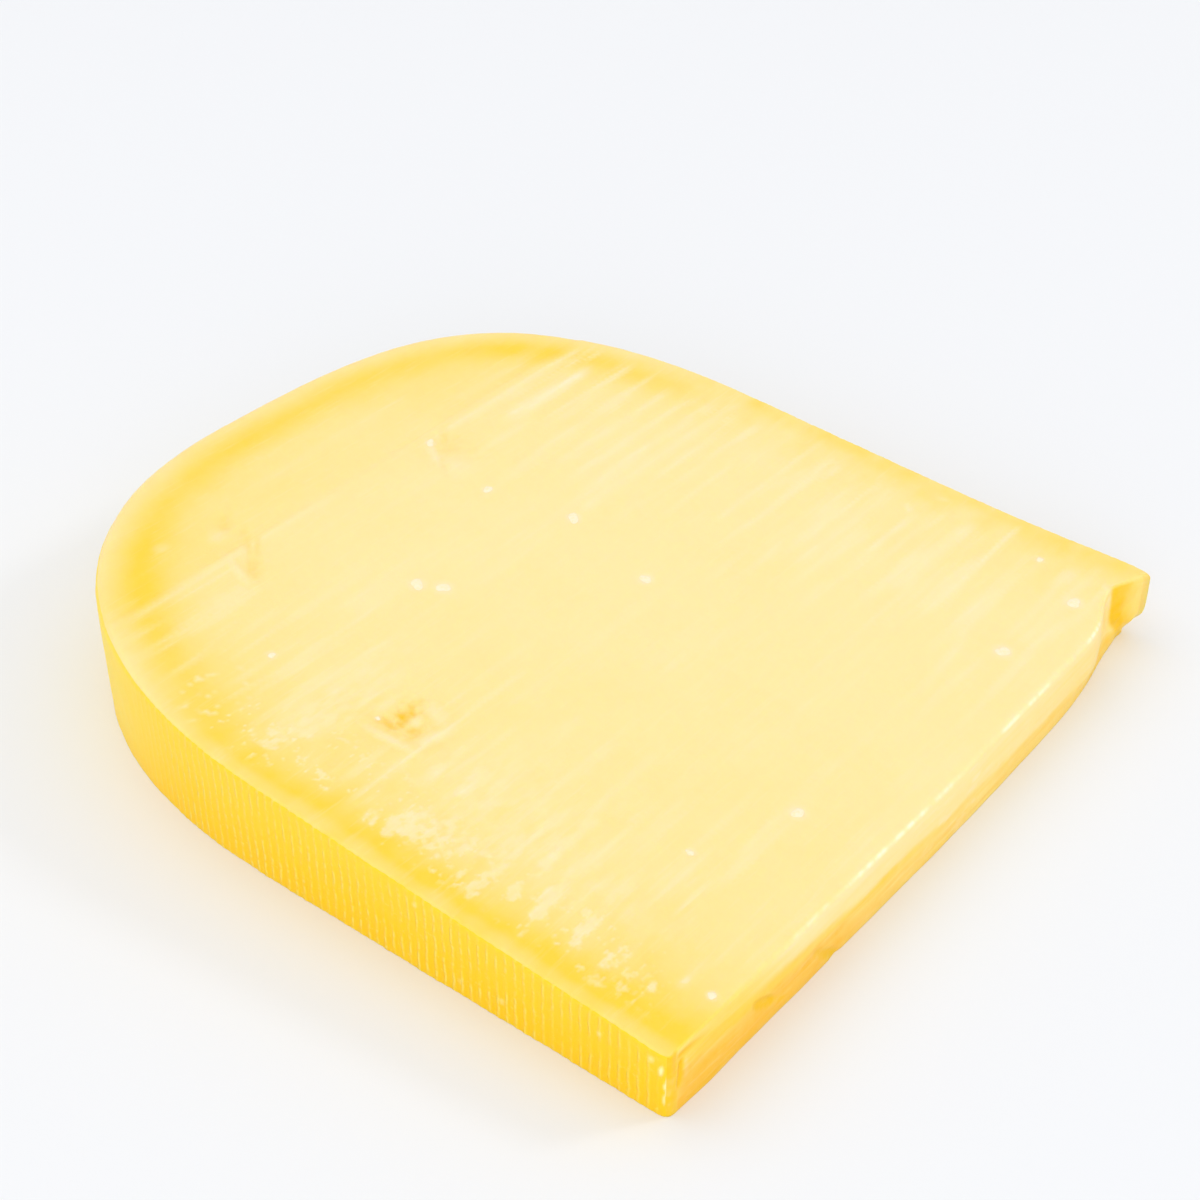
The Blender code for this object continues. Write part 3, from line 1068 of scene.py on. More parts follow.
@dataclass
class Walls:
    """The upright skin round the slice: ribbed sides, smooth rim and tip face."""

    outline: Outline
    upper: UpperFace
    rib_depth: float = 0.06
    ribs_from: Ease = Ease(0.6, 2.4)
    rib_sway: float = 0.35
    rib_knots: float = 0.25
    lumps: Weave = Weave(0.07, 8.0, 6.0, 2)
    grit: Weave = Weave(0.05, 1.3, 1.3, 2)
    rows: int = 24
    rind_edge: float = 0.42
    rim_edge: float = 1.25
    rim_from: Ease = Ease(70.0, 30.0)
    back_swell: float = 0.35
    corner_swell: float = 0.45
    corner_swell_reach: float = 14.0
    swell_to_rim: Ease = Ease(92.0, -40.0)
    swell_off_foot: float = 5.0
    tip_edge: float = 0.58
    notch_edge: float = 0.42
    crisp_front: Ease = Ease(36.0, 14.0)
    far_corner_edge: float = 0.80
    far_corner_reach: float = 2.4
    foot_edge: float = 0.04
    crumb_lift: float = 0.05
    foot_turns: tuple[float, ...] = (90.0, 45.0)
    top_turns: tuple[float, ...] = (22.5, 45.0, 67.5, 90.0)
    grain: Grain = Grain(37)
    fine: Grain = Grain(41)

    def __post_init__(self) -> None:
        """Make the tip face."""
        self.tip = TipFace(self.outline, self.upper.tip_thickness)

    def corner_ease(self, points: OutlinePoints) -> Array:
        """Share of an edge's rounding that each point keeps, less at the tip's corners."""
        beside = self.outline.half_width - np.abs(points.place[:, 1])
        reach = np.where(points.side == Side.TIP, beside, points.place[:, 0])
        return 0.6 + 0.4 * smooth_step(reach / 1.4)

    def edge_radius(self, points: OutlinePoints) -> Array:
        """How softly the upper edge is rounded.

        Args:
            points: the outline.

        Returns:
            The radius at each point.
        """
        across = points.place[:, 1]
        notch = smooth_step((-across - self.outline.notch_end + 4.0) / 4.0)
        crisp = self.crisp_front(across)
        tip = self.tip_edge * (1.0 - 0.5 * crisp) * (1.0 - notch) + self.notch_edge * notch
        rim = self.rim_from(points.place[:, 0])
        rind = self.rind_edge * (1.0 - rim) + self.rim_edge * rim
        radius = np.where(points.side == Side.TIP, tip, rind) * self.corner_ease(points)
        off_corner = np.hypot(points.place[:, 0], across + self.outline.half_width)
        far = bell(off_corner / self.far_corner_reach)
        return radius * (1.0 - far) + self.far_corner_edge * far

    def rib_relief(self, points: OutlinePoints, height: Array) -> tuple[Array, Array]:
        """Ribs pressed by the mould's cloth.

        Args:
            points: the outline.
            height: heights on the wall, one for each point.

        Returns:
            How far the wall is pushed out, and how ribbed each point is.
        """
        from_tip = points.place[:, 0]
        along = points.along / self.outline.rib_pitch
        on_rind = points.side != Side.TIP
        fade = self.outline.fade(from_tip) * on_rind * self.ribs_from(from_tip)
        side = np.where(points.side == Side.FRONT, 0.0, 90.0)
        crest = np.square(np.cos(math.pi * along))
        uneven = 1.0 + self.rib_sway * self.grain.sample(along / 2.3 + side + 7.0, height / 4.0)
        knots = 1.0 + self.rib_knots * self.fine.sample(along + side, height / 0.9)
        relief = self.rib_depth * fade * (crest * knots * uneven - 0.5)
        lumps = self.lumps.strength * self.grain.rough(
            points.along / self.lumps.u_size + side, height / self.lumps.v_size, 2)
        grit = self.grit.strength * self.fine.rough(
            points.along / self.grit.u_size + side, height / self.grit.v_size, 2)
        swell = self.back_swell + self.corner_swell * bell(from_tip / self.corner_swell_reach)
        swell = swell * (points.side == Side.BACK) * self.swell_to_rim(from_tip)
        swell = swell * smooth_step(height / self.swell_off_foot)
        return relief + (lumps + grit) * on_rind + swell, fade

    def crumb_tone(self, points: OutlinePoints, height: Array) -> Array:
        """Pale crumbs that stick to the front side.

        Args:
            points: the outline.
            height: heights on the wall, one for each point.

        Returns:
            0 to 1 at each point.
        """
        tone = np.zeros_like(height)
        for crumb in CRUMBS:
            tone = np.maximum(tone, crumb.tone * crumb.shape(points.along, height, self.fine))
        return tone * (points.side == Side.FRONT)

    def ring(self, points: OutlinePoints, height: Array, top: Array, inset: Array) -> Ring:
        """One closed row of wall points.

        Args:
            points: the outline.
            height: the row's height at each point.
            top: the height of the upper edge at each point.
            inset: how far the row is drawn in by a rounded edge.

        Returns:
            The row with its tones.
        """
        tip = points.side == Side.TIP
        ribs, ribbed = self.rib_relief(points, height)
        across = points.place[:, 1]
        face, amber = self.tip.relief(across, height, top)
        near_corner = smooth_step((self.outline.half_width - np.abs(across)) / 1.5)
        crumbs = self.crumb_tone(points, height)
        push = np.where(tip, (face.height - 0.08) * near_corner, ribs + self.crumb_lift * crumbs)
        place = points.place + points.normal * (push - inset)[:, None]
        drawn = self.outline.tip_foot(across) - self.outline.tip_face(across)
        drawn = drawn * (1.0 - Ease(0.3, 3.6)(height))
        far = Ease(self.outline.foot_start, 3.0)(-across)
        beside = 1.0 - Ease(0.5, 5.5)(points.place[:, 0])
        place[:, 0] += drawn * far * np.where(tip, 1.0, beside)
        place[:, 0] = np.clip(place[:, 0], -self.outline.tip_bow, self.outline.reach)
        return Ring(place, height, ribbed, np.where(tip, amber, 0.0), crumbs, face)

    def rings(self, points: OutlinePoints) -> list[Ring]:
        """Every row of the wall, from the rim of the resting face up to the upper face.

        Args:
            points: the outline.

        Returns:
            The rows, lowest first.
        """
        radius = self.edge_radius(points)
        inner = points.place - points.normal * (radius + 0.05)[:, None]
        top = self.upper.shape(inner[:, 0], inner[:, 1]).height
        foot = self.foot_edge * self.corner_ease(points)
        rows = []
        for turn in self.foot_turns:
            sine, cosine = math.sin(math.radians(turn)), math.cos(math.radians(turn))
            rows.append(self.ring(points, foot * (1 - sine), top, foot * (1 - cosine)))
        for row in range(self.rows + 1):
            height = foot + (top - radius - foot) * row / self.rows
            rows.append(self.ring(points, height, top, np.zeros_like(top)))
        for turn in self.top_turns:
            sine, cosine = math.sin(math.radians(turn)), math.cos(math.radians(turn))
            height = top - radius * (1 - sine)
            rows.append(self.ring(points, height, top, radius * (1 - cosine)))
        return rows


@dataclass
class Skin:
    """Vertices, faces and tones gathered for one mesh."""

    places: list[Array] = field(default_factory=list)
    tones: dict[str, list[Array]] = field(default_factory=dict)
    faces: list[tuple[int, ...]] = field(default_factory=list)
    slots: list[int] = field(default_factory=list)
    count: int = 0

    def add_points(self, place: Array, height: Array, tones: dict[str, Array]) -> int:
        """Add points with their tones.

        Args:
            place: distances from the tip and places across, one point to a row.
            height: height of each point.
            tones: one value to a point under each tone's name.

        Returns:
            The index of the first point.
        """
        first = self.count
        self.places.append(np.column_stack([place, height]))
        for name, values in tones.items():
            self.tones.setdefault(name, []).append(values)
        self.count += len(place)
        return first

    def add_face(self, corners: tuple[int, ...], slot: MaterialSlot) -> None:
        """Add one face in a material slot."""
        self.faces.append(corners)
        self.slots.append(int(slot))

    def join_rows(self, lower: int, upper: int, slots: list[MaterialSlot]) -> None:
        """Close the gap between two rows of points with quads.

        Args:
            lower: index of the lower row's first point.
            upper: index of the upper row's first point.
            slots: the slot of each quad.
        """
        for i, slot in enumerate(slots):
            j = (i + 1) % len(slots)
            self.add_face((lower + i, lower + j, upper + j, upper + i), slot)

    def to_object(self, name: str, origin: float) -> bpy.types.Object:
        """Write the mesh in the frame's metres.

        Args:
            name: the object's name.
            origin: distance from the tip that becomes X = 0.

        Returns:
            The linked object.
        """
        places = np.concatenate(self.places)
        places[:, 0] -= origin
        mesh = bpy.data.meshes.new(name)
        mesh.from_pydata((places * MM).tolist(), [], self.faces)
        for tone, values in self.tones.items():
            layer = mesh.attributes.new(tone, "FLOAT", "POINT")
            layer.data.foreach_set("value", np.concatenate(values).astype(np.float32))
        mesh.polygons.foreach_set("material_index", np.array(self.slots, dtype=np.int32))
        mesh.shade_smooth()
        mesh.update()
        piece = bpy.data.objects.new(name, mesh)
        bpy.context.scene.collection.objects.link(piece)
        return piece


@dataclass(frozen=True)
class Grid:
    """Inner points of a cut face: rows along the knife's path, finer where it is torn."""

    step_from_tip: float
    step_across: float

    def points(self, box: Box) -> Array:
        """Staggered points that fill a box.

        Args:
            box: lowest and highest distance from the tip, then lowest and highest across.

        Returns:
            The points, one to a row.
        """
        left, right, low, high = box
        columns = np.arange(left, right, self.step_from_tip)
        rows = np.arange(low, high, self.step_across)
        from_tip, across = np.meshgrid(columns, rows, indexing="ij")
        stagger = np.where(np.arange(len(columns)) % 2, 0.5, 0.0)[:, None]
        return np.stack([from_tip.ravel(), (across + stagger * self.step_across).ravel()], 1)


def inside(points: Array, border: Array) -> Array:
    """Which points lie inside a closed border, by counting crossings.

    Args:
        points: points to test.
        border: the border's points in order.

    Returns:
        True for each point inside.
    """
    result = np.zeros(len(points), dtype=bool)
    start, end = border, np.roll(border, -1, axis=0)
    for (x0, y0), (x1, y1) in zip(start, end):
        if y0 == y1:
            continue
        spans = (points[:, 1] >= min(y0, y1)) & (points[:, 1] < max(y0, y1))
        crossing = x0 + (points[:, 1] - y0) * (x1 - x0) / (y1 - y0)
        result ^= spans & (points[:, 0] < crossing)
    return result


@dataclass
class CheeseSlice:
    """The whole slice: its outline, walls, and upper and resting faces."""

    low: Vector
    high: Vector
    tip_thickness: float = 9.2
    margin: float = 2.0
    upper_grid: Grid = Grid(0.32, 1.05)
    upper_clear: float = 0.22
    finer: tuple[tuple[Grid, Box], ...] = (
        (Grid(0.27, 0.36), (1.5, 72.0, 31.0, 54.0)),
        (Grid(0.20, 0.22), (49.5, 60.0, 29.0, 39.5)),
        (Grid(0.28, 0.36), (87.0, 104.0, 17.0, 30.0)),
        (Grid(0.28, 0.36), (86.0, 97.0, -18.0, -7.0)),
    )
    rest_grid: Grid = Grid(2.4, 2.8)
    rest_clear: float = 1.2

    def __post_init__(self) -> None:
        """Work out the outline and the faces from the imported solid's box."""
        size = (self.high - self.low) / MM
        self.outline = Outline(size.x, size.y)
        self.points = self.outline.walk()
        self.upper = UpperFace(self.outline, self.tip_thickness, size.z, self.points)
        self.walls = Walls(self.outline, self.upper)
        self.on_tip = self.points.side == Side.TIP

    def fill_points(self, border: Array, grids: list[tuple[Grid, Box]], clear: float) -> Array:
        """Inner points of a cut face.

        Args:
            border: the face's closed border.
            grids: each grid with its box, finer grids last; a finer one clears its box.
            clear: how far the points keep from the border.

        Returns:
            The points, one to a row.
        """
        kept = np.empty((0, 2))
        for grid, box in grids:
            left, right, low, high = box
            covered = ((kept[:, 0] > left) & (kept[:, 0] < right)
                       & (kept[:, 1] > low) & (kept[:, 1] < high))
            kept = np.concatenate([kept[~covered], grid.points(box)])
        kept = kept[inside(kept, border)]
        tree = nearest_tree(border)
        return kept[np.array([tree.find((x, y, 0.0))[2] > clear for x, y in kept])]

    def close_face(self, skin: Skin, first: int, border: Array, filling: Array,
                   up: bool, height: Array, tones: dict[str, Array]) -> None:
        """Triangulate a cut face between its border and its inner points.

        Args:
            skin: gathers the mesh.
            first: index of the border's first point.
            border: the border's points.
            filling: inner points.
            up: whether the face looks up.
            height: height of the inner points.
            tones: tones of the inner points.
        """
        inner = skin.add_points(filling, height, tones)
        flat = [Vector(point) for point in np.concatenate([border, filling])]
        loop = [list(range(len(border)))]
        places, _, triangles, origins, _, _ = delaunay_2d_cdt(flat, [], loop, 1, MERGE)
        if len(places) != len(flat):
            raise ValueError("the border of a cut face crosses itself")
        index = [origin[0] for origin in origins]
        index = [first + i if i < len(border) else inner + i - len(border) for i in index]
        for a, b, c in triangles:
            corners = (index[a], index[b], index[c]) if up else (index[c], index[b], index[a])
            skin.add_face(corners, MaterialSlot.PASTE)

    def flat_tones(self, relief: Relief) -> dict[str, Array]:
        """Tones of points on a cut face.

        Args:
            relief: what the face shows there.

        Returns:
            The tones by name.
        """
        none = np.zeros(len(relief.gold))
        return {"gold": relief.gold, "pale": relief.pale, "deep": relief.deep,
                "amber": none, "ribbed": none, "along": none, "wet_and_painted_glint": none}

    def wall_tones(self, ring: Ring, share: float) -> dict[str, Array]:
        """Tones of one wall row.

        Args:
            ring: the row.
            share: how far the row has turned over into the upper face.

        Returns:
            The tones by name.
        """
        tip, kept = self.on_tip, 1.0 - share
        # Bell over the rows that round over the tip's upper edge, where the painted highlight and the
        # lower roughness sit.
        wet_and_painted_glint = float(bell((share - 0.5) / 0.26)) if share > 0.0 else 0.0
        face = self.upper.shape(ring.place[:, 0], ring.place[:, 1])
        return {
            "gold": np.where(tip, ring.face.gold * kept + face.gold * share, face.gold),
            "pale": np.where(tip, ring.face.pale, ring.crumbs) * kept + face.pale * share,
            "deep": np.where(tip, ring.face.deep * kept, 0.0) + face.deep * share,
            "amber": ring.amber * kept,
            "ribbed": ring.ribbed,
            "along": self.points.along,
            "wet_and_painted_glint": np.where(tip, self.walls.tip.painted_glint(ring.place[:, 1]), 0.0) * wet_and_painted_glint,
        }

    def build(self) -> bpy.types.Object:
        """Make the closed skin.

        Returns:
            The cheese's object.
        """
        skin = Skin()
        rings = self.walls.rings(self.points)
        rounded = len(self.walls.top_turns)
        starts = []
        for row, ring in enumerate(rings):
            turned = (row - (len(rings) - 1 - rounded)) / rounded
            tones = self.wall_tones(ring, max(0.0, turned))
            starts.append(skin.add_points(ring.place, ring.height, tones))
        self.join_rings(skin, starts)
        self.close_upper(skin, starts[-1], rings[-1].place)
        self.close_resting(skin, starts[0], rings[0].place)
        return skin.to_object("cheese_slice", self.outline.middle)

    @property
    def whole_box(self) -> Box:
        """A box around the whole outline."""
        half = self.outline.half_width
        return (-self.margin, self.outline.reach + self.margin, -half, half)

    def close_upper(self, skin: Skin, first: int, border: Array) -> None:
        """Lay the upper face with its relief.

        Args:
            skin: gathers the mesh.
            first: index of the border's first point.
            border: the border's points.
        """
        grids = [(self.upper_grid, self.whole_box), *self.finer]
        filling = self.fill_points(border, grids, self.upper_clear)
        relief = self.upper.shape(filling[:, 0], filling[:, 1])
        self.close_face(skin, first, border, filling, True, relief.height,
                        self.flat_tones(relief))

    def close_resting(self, skin: Skin, first: int, border: Array) -> None:
        """Lay the flat face that the slice rests on.

        Args:
            skin: gathers the mesh.
            first: index of the border's first point.
            border: the border's points.
        """
        grids = [(self.rest_grid, self.whole_box)]
        filling = self.fill_points(border, grids, self.rest_clear)
        flat = np.zeros(len(filling))
        gold = self.upper.rind_gold(filling[:, 0], filling[:, 1])
        pale = self.upper.lines.tone(filling[:, 0], filling[:, 1], self.upper.fine)
        relief = Relief(flat, np.clip(gold, 0.0, 1.0), pale, flat)
        self.close_face(skin, first, border, filling, False, flat, self.flat_tones(relief))

    def join_rings(self, skin: Skin, starts: list[int]) -> None:
        """Close the walls with quads between each row and the next.

        Args:
            skin: gathers the mesh.
            starts: index of each row's first point.
        """
        first_rounded = len(starts) - len(self.walls.top_turns)
        for row, (lower, upper) in enumerate(zip(starts, starts[1:])):
            on_edge = row < 1 or row > first_rounded
            skin.join_rows(lower, upper, [MaterialSlot.PASTE if on_tip or on_edge
                                          else MaterialSlot.RIND for on_tip in self.on_tip])


@dataclass
class Crystals:
    """Small chalky crystals that sit in the upper face, all in one mesh."""

    cheese: CheeseSlice
    sectors: int = 20
    rings: int = 8
    proud: float = 0.15
    sunk: float = 0.25
    settle: float = 0.07
    seed: int = 5

    def build(self) -> bpy.types.Object:
        """Make every crystal as a low ragged dome with a closed underside.

        Returns:
            The crystals' object.
        """
        rng = np.random.default_rng(self.seed)
        skin = Skin()
        for spot in CRYSTALS:
            self.add_dome(skin, spot, rng)
        return skin.to_object("crystals", self.cheese.outline.middle)

    def add_dome(self, skin: Skin, spot: Crystal, rng: np.random.Generator) -> None:
        """Add one crystal.

        Args:
            skin: gathers the mesh.
            spot: place and size.
            rng: makes the crystal's edge uneven.
        """
        angle = np.arange(self.sectors) * 2.0 * math.pi / self.sectors
        lobes = rng.uniform(0.0, 2.0 * math.pi, 3)
        edge = 1.0 + sum(0.16 / (k + 1) * np.sin((k + 2) * angle + lobes[k]) for k in range(3))
        turn = math.radians(spot.turn)
        long = np.cos(angle - turn) * spot.stretch
        wide = np.sin(angle - turn)
        direction = np.stack([long * math.cos(turn) - wide * math.sin(turn),
                              long * math.sin(turn) + wide * math.cos(turn)], 1)
        centre = np.array([spot.from_tip, spot.across])
        starts = []
        for ring in range(self.rings):
            tilt = math.pi * (ring + 0.5) / self.rings - math.pi / 2.0
            place = centre + direction * (spot.radius * edge * math.cos(tilt))[:, None]
            top = self.cheese.upper.shape(place[:, 0], place[:, 1]).height
            lift = self.proud if tilt > 0.0 else self.sunk
            height = top + lift * math.sin(tilt) - self.settle
            starts.append(skin.add_points(place, height, {}))
        for lower, upper in zip(starts, starts[1:]):
            skin.join_rows(lower, upper, [MaterialSlot.PASTE] * self.sectors)
        loop = range(self.sectors)
        skin.add_face(tuple(starts[-1] + i for i in loop), MaterialSlot.PASTE)
        skin.add_face(tuple(starts[0] + i for i in reversed(loop)), MaterialSlot.PASTE)


class Wire:
    """A shader socket that takes part in arithmetic."""

    def __init__(self, tree: "ShaderTree", socket: bpy.types.NodeSocket) -> None:
        """Wrap a socket of a tree."""
        self.tree = tree
        self.socket = socket

    def math(self, operation: str, *others: "Wire | float", clamp: bool = False) -> "Wire":
        """Add a Math node after this socket.

        Args:
            operation: the node's operation.
            others: its other inputs.
            clamp: whether it holds its result between 0 and 1.

        Returns:
            The node's output.
        """
        settings = {"operation": operation, "use_clamp": clamp}
        return self.tree.add("ShaderNodeMath", settings, dict(enumerate((self, *others)))).out(0)

    def __add__(self, other: "Wire | float") -> "Wire":
        """Sum."""
        return self.math("ADD", other)

    __radd__ = __add__

    def __sub__(self, other: "Wire | float") -> "Wire":
        """Difference."""
        return self.math("SUBTRACT", other)

    def __rsub__(self, other: float) -> "Wire":
        """Difference from a number."""
        return (self * -1.0) + other

    def __mul__(self, other: "Wire | float") -> "Wire":
        """Product."""
        return self.math("MULTIPLY", other)

    __rmul__ = __mul__

    def clamped(self) -> "Wire":
        """Held between 0 and 1."""
        return self.math("ADD", 0.0, clamp=True)

    def between(self, low: float, high: float) -> "Wire":
        """Ease from 0 to 1 as the value goes from low to high."""
        settings = {"interpolation_type": "SMOOTHSTEP"}
        sockets = {"Value": self, "From Min": low, "From Max": high}
        return self.tree.add("ShaderNodeMapRange", settings, sockets).out("Result")


class Node:
    """A node of a shader tree."""

    def __init__(self, tree: "ShaderTree", node: bpy.types.Node) -> None:
        """Wrap a node of a tree."""
        self.tree = tree
        self.node = node

    def out(self, name: str | int) -> Wire:
        """One of the node's outputs."""
        return Wire(self.tree, self.node.outputs[name])


class ShaderTree:
    """The node tree of one material."""

    def __init__(self, name: str) -> None:
        """Make a material with an empty tree.

        Args:
            name: the material's name.
        """
        self.material = bpy.data.materials.new(name)
        self.material.use_nodes = True
        self.tree = self.material.node_tree
        self.tree.nodes.clear()

    def add(self, kind: str, settings: dict | None = None, sockets: dict | None = None) -> Node:
        """Add a node.

        Args:
            kind: the node's type.
            settings: its settings, which are set first.
            sockets: values or wires for its inputs, by name or place.

        Returns:
            The node.
        """
        node = self.tree.nodes.new(kind)
        for name, value in (settings or {}).items():
            setattr(node, name, value)
        for name, value in (sockets or {}).items():
            socket = node.inputs[name]
            if isinstance(value, Wire):
                self.tree.links.new(value.socket, socket)
            elif isinstance(value, tuple) and socket.type == "RGBA":
                socket.default_value = (*value, 1.0)
            else:
                socket.default_value = value
        return Node(self, node)

    def tone(self, name: str) -> Wire:
        """A tone that the mesh carries at its points."""
        return self.add("ShaderNodeAttribute", {"attribute_name": name}).out("Fac")

    def millimetres(self, stretch: tuple[float, float, float] = (1.0, 1.0, 1.0)) -> Wire:
        """The piece's own coordinates in millimetres, squeezed by a factor on each axis."""
        own = self.add("ShaderNodeTexCoord").out("Object")
        factors = tuple(1.0 / MM * share for share in stretch)
        scaled = self.add("ShaderNodeVectorMath", {"operation": "MULTIPLY"}, {0: own, 1: factors})
        return scaled.out(0)

    def vector(self, x: Wire | float, y: Wire | float, z: Wire | float) -> Wire:
        """A vector out of three values."""
        return self.add("ShaderNodeCombineXYZ", {}, {0: x, 1: y, 2: z}).out(0)

    def noise(self, place: Wire, size: float, detail: float = 2.0) -> Wire:
        """Noise between 0 and 1.

        Args:
            place: the coordinates that it follows.
            size: how large its bumps are.
            detail: how much finer noise it carries.

        Returns:
            The noise.
        """
        sockets = {"Vector": place, "Scale": 1.0 / size, "Detail": detail}
        return self.add("ShaderNodeTexNoise", {"noise_dimensions": "3D"}, sockets).out(0)

    def mix(self, share: Wire | float, first: Wire | Colour, second: Wire | Colour) -> Wire:
        """Blend two colours.

        Args:
            share: how much of the second.
            first: a colour.
            second: another colour.

        Returns:
            The blend.
        """
        settings = {"data_type": "RGBA", "clamp_factor": True}
        return self.add("ShaderNodeMix", settings, {0: share, 6: first, 7: second}).out(2)

    def bump(self, height: Wire, distance: float, strength: float = 1.0) -> Wire:
        """A normal bent by a height in millimetres times distance."""
        sockets = {"Strength": strength, "Distance": distance * MM, "Height": height}
        return self.add("ShaderNodeBump", {}, sockets).out("Normal")

    def finish(self, sockets: dict) -> bpy.types.Material:
        """End the tree in a Principled shader.

        Args:
            sockets: values or wires for the shader.

        Returns:
            The material.
        """
        shader = self.add("ShaderNodeBsdfPrincipled", {}, sockets).out(0)
        self.add("ShaderNodeOutputMaterial", {}, {"Surface": shader})
        return self.material


@dataclass(frozen=True)
class Flesh:
    """How light soaks into the cheese."""

    weight: float = 0.35
    radius: Colour = (1.0, 0.55, 0.18)
    scale: float = 3.0

    def sockets(self) -> dict:
        """The shader's subsurface sockets."""
        return {
            "Subsurface Weight": self.weight,
            "Subsurface Radius": self.radius,
            "Subsurface Scale": self.scale * MM,
            "Subsurface Anisotropy": 0.6,
        }


@dataclass(frozen=True)
class PasteFinish:
    """Cut paste: pale yellow, golden towards the rind, drier and paler where it is smeared, with a
    painted highlight along the tip's moist upper edge.
    """

    paste: Colour = from_srgb(254, 229, 163)
    gold: Colour = from_srgb(252, 212, 62)
    pale: Colour = from_srgb(255, 234, 192)
    deep: Colour = from_srgb(245, 195, 0)
    # Amber of the tip face's lower part: partly its own colour, partly painted shade near the floor.
    amber: Colour = from_srgb(250, 190, 40)
    # Colour of the painted highlight along the tip's upper edge.
    painted_glint: Colour = from_srgb(255, 250, 222)
    roughness: float = 0.38
    dry_roughness: float = 0.60
    wetness: float = 0.20
    specular: float = 0.26
    flesh: Flesh = Flesh(weight=0.26, scale=2.2)

    def material(self) -> bpy.types.Material:
        """Make the material."""
        tree = ShaderTree("paste")
        dragged = tree.millimetres((1.0, 0.10, 1.0))
        plain = tree.millimetres()
        cloud = tree.noise(plain, 12.0, 3.0)
        mottle = tree.noise(plain, 1.6, 4.0)
        drag = tree.noise(dragged, 0.7, 4.0)
        gold = tree.tone("gold") + (cloud - 0.5) * 0.20 + (mottle - 0.5) * 0.12
        pale = tree.tone("pale") * (0.45 + mottle * 0.8 + (drag - 0.5) * 0.9)
        pale = pale + drag.between(0.52, 0.80) * 0.16
        deep = tree.tone("deep") * (0.60 + mottle * 0.8)
        colour = tree.mix(gold.clamped(), self.paste, self.gold)
        # Amber on the tip face, partly painted shade near the floor.
        colour = tree.mix(tree.tone("amber") * (0.7 + mottle * 0.6), colour, self.amber)
        colour = tree.mix(pale.clamped(), colour, self.pale)
        colour = tree.mix(deep.clamped(), colour, self.deep)
        wet_and_painted_glint = tree.tone("wet_and_painted_glint")
        # Painted highlight: whiten the tip's upper edge by the tone read above; the same tone lowers
        # the roughness below.
        colour = tree.mix((wet_and_painted_glint * 0.9).clamped(), colour, self.painted_glint)
        roughness = self.roughness + tree.tone("pale") * (self.dry_roughness - self.roughness)
        roughness = roughness + (mottle - 0.5) * 0.12 - wet_and_painted_glint * self.wetness
        fine = tree.noise(plain, 0.32, 3.0)
        height = drag * 0.45 + mottle * 0.40 + fine * 0.25
        normal = tree.bump(height, 0.11, 0.6)
        return tree.finish({"Base Color": colour, "Roughness": roughness, "Normal": normal,
                            "Specular IOR Level": self.specular, **self.flesh.sockets()})


@dataclass(frozen=True)
class RindFinish:
    """Wheel faces: deeper gold in the grooves and at the foot, paler along the rib crests."""

    groove: Colour = from_srgb(252, 203, 0)
    crest: Colour = from_srgb(254, 220, 96)
    crumb: Colour = from_srgb(255, 238, 170)
    rim: Colour = from_srgb(253, 222, 84)
    foot: Colour = from_srgb(251, 199, 0)
    edge: Colour = from_srgb(254, 218, 62)
    pitch: float = 1.31
    bead: float = 0.95
    roughness: float = 0.46
    specular: float = 0.28
    flesh: Flesh = Flesh(weight=0.25, scale=1.6)

    def crests(self, tree: "ShaderTree", along: Wire, height: Wire) -> tuple[Wire, Wire]:
        """Thin pale lines along the rib crests, broken into beads.

        Args:
            tree: the material's tree.
            along: distance from the tip along the side in millimetres.
            height: height above the resting face in millimetres.

        Returns:
            How much of a crest each point is, and how much of a bead.
        """
        sway = tree.noise(tree.vector(along * 0.22, height * 0.45, 0.0), 1.0, 1.0)
        phase = along * (1.0 / self.pitch) + (sway - 0.5) * 0.42
        rib = (phase + 0.5).math("FLOOR")
        beside = (phase - rib).math("ABSOLUTE")
        line = 1.0 - beside.between(0.04, 0.22)
        string = tree.vector(rib * 7.31, height * (1.0 / self.bead), 0.0)
        beads = tree.noise(string, 1.0, 1.0).between(0.36, 0.62)
        patchy = tree.noise(tree.vector(along * 0.11, height * 0.30, 3.0), 1.0, 2.0)
        line = line * tree.tone("ribbed") * patchy.between(0.25, 0.60)
        return line, beads

    def material(self) -> bpy.types.Material:
        """Make the material."""
        tree = ShaderTree("rind")
        plain = tree.millimetres()
        split = tree.add("ShaderNodeSeparateXYZ", {}, {0: plain})
        height, from_middle = split.out("Z"), split.out("X")
        cloud = tree.noise(plain, 5.0, 3.0)
        crumb = tree.noise(plain, 0.6, 3.0)
        along = tree.tone("along")
        line, beads = self.crests(tree, along, height)
        rim = from_middle.between(14.0, 40.0)
        colour = tree.mix(height.between(2.0, 13.0) * 0.55, self.groove, self.edge)
        colour = tree.mix(rim * 0.85, colour, self.rim)
        low = (1.0 - height.between(0.0, 5.0)) * (0.40 + cloud * 0.6) * (1.0 - rim * 0.5)
        colour = tree.mix(low.clamped(), colour, self.foot)
        beaded = along.between(8.0, 26.0)
        crest_and_crumb_paleness = line * (0.45 - beaded * 0.25 + beads * (0.25 + beaded * 0.55))
        crest_and_crumb_paleness = crest_and_crumb_paleness + (crumb - 0.62).between(0.0, 0.12) * 0.4
        colour = tree.mix(crest_and_crumb_paleness.clamped(), colour, self.crest)
        colour = tree.mix(tree.tone("pale"), colour, self.crumb)
        bumps = line * (0.4 + beads * 0.8) + crumb * 0.5
        normal = tree.bump(bumps, 0.13, 0.7)
        roughness = self.roughness + (cloud - 0.5) * 0.14
        return tree.finish({"Base Color": colour, "Roughness": roughness, "Normal": normal,
                            "Specular IOR Level": self.specular, **self.flesh.sockets()})


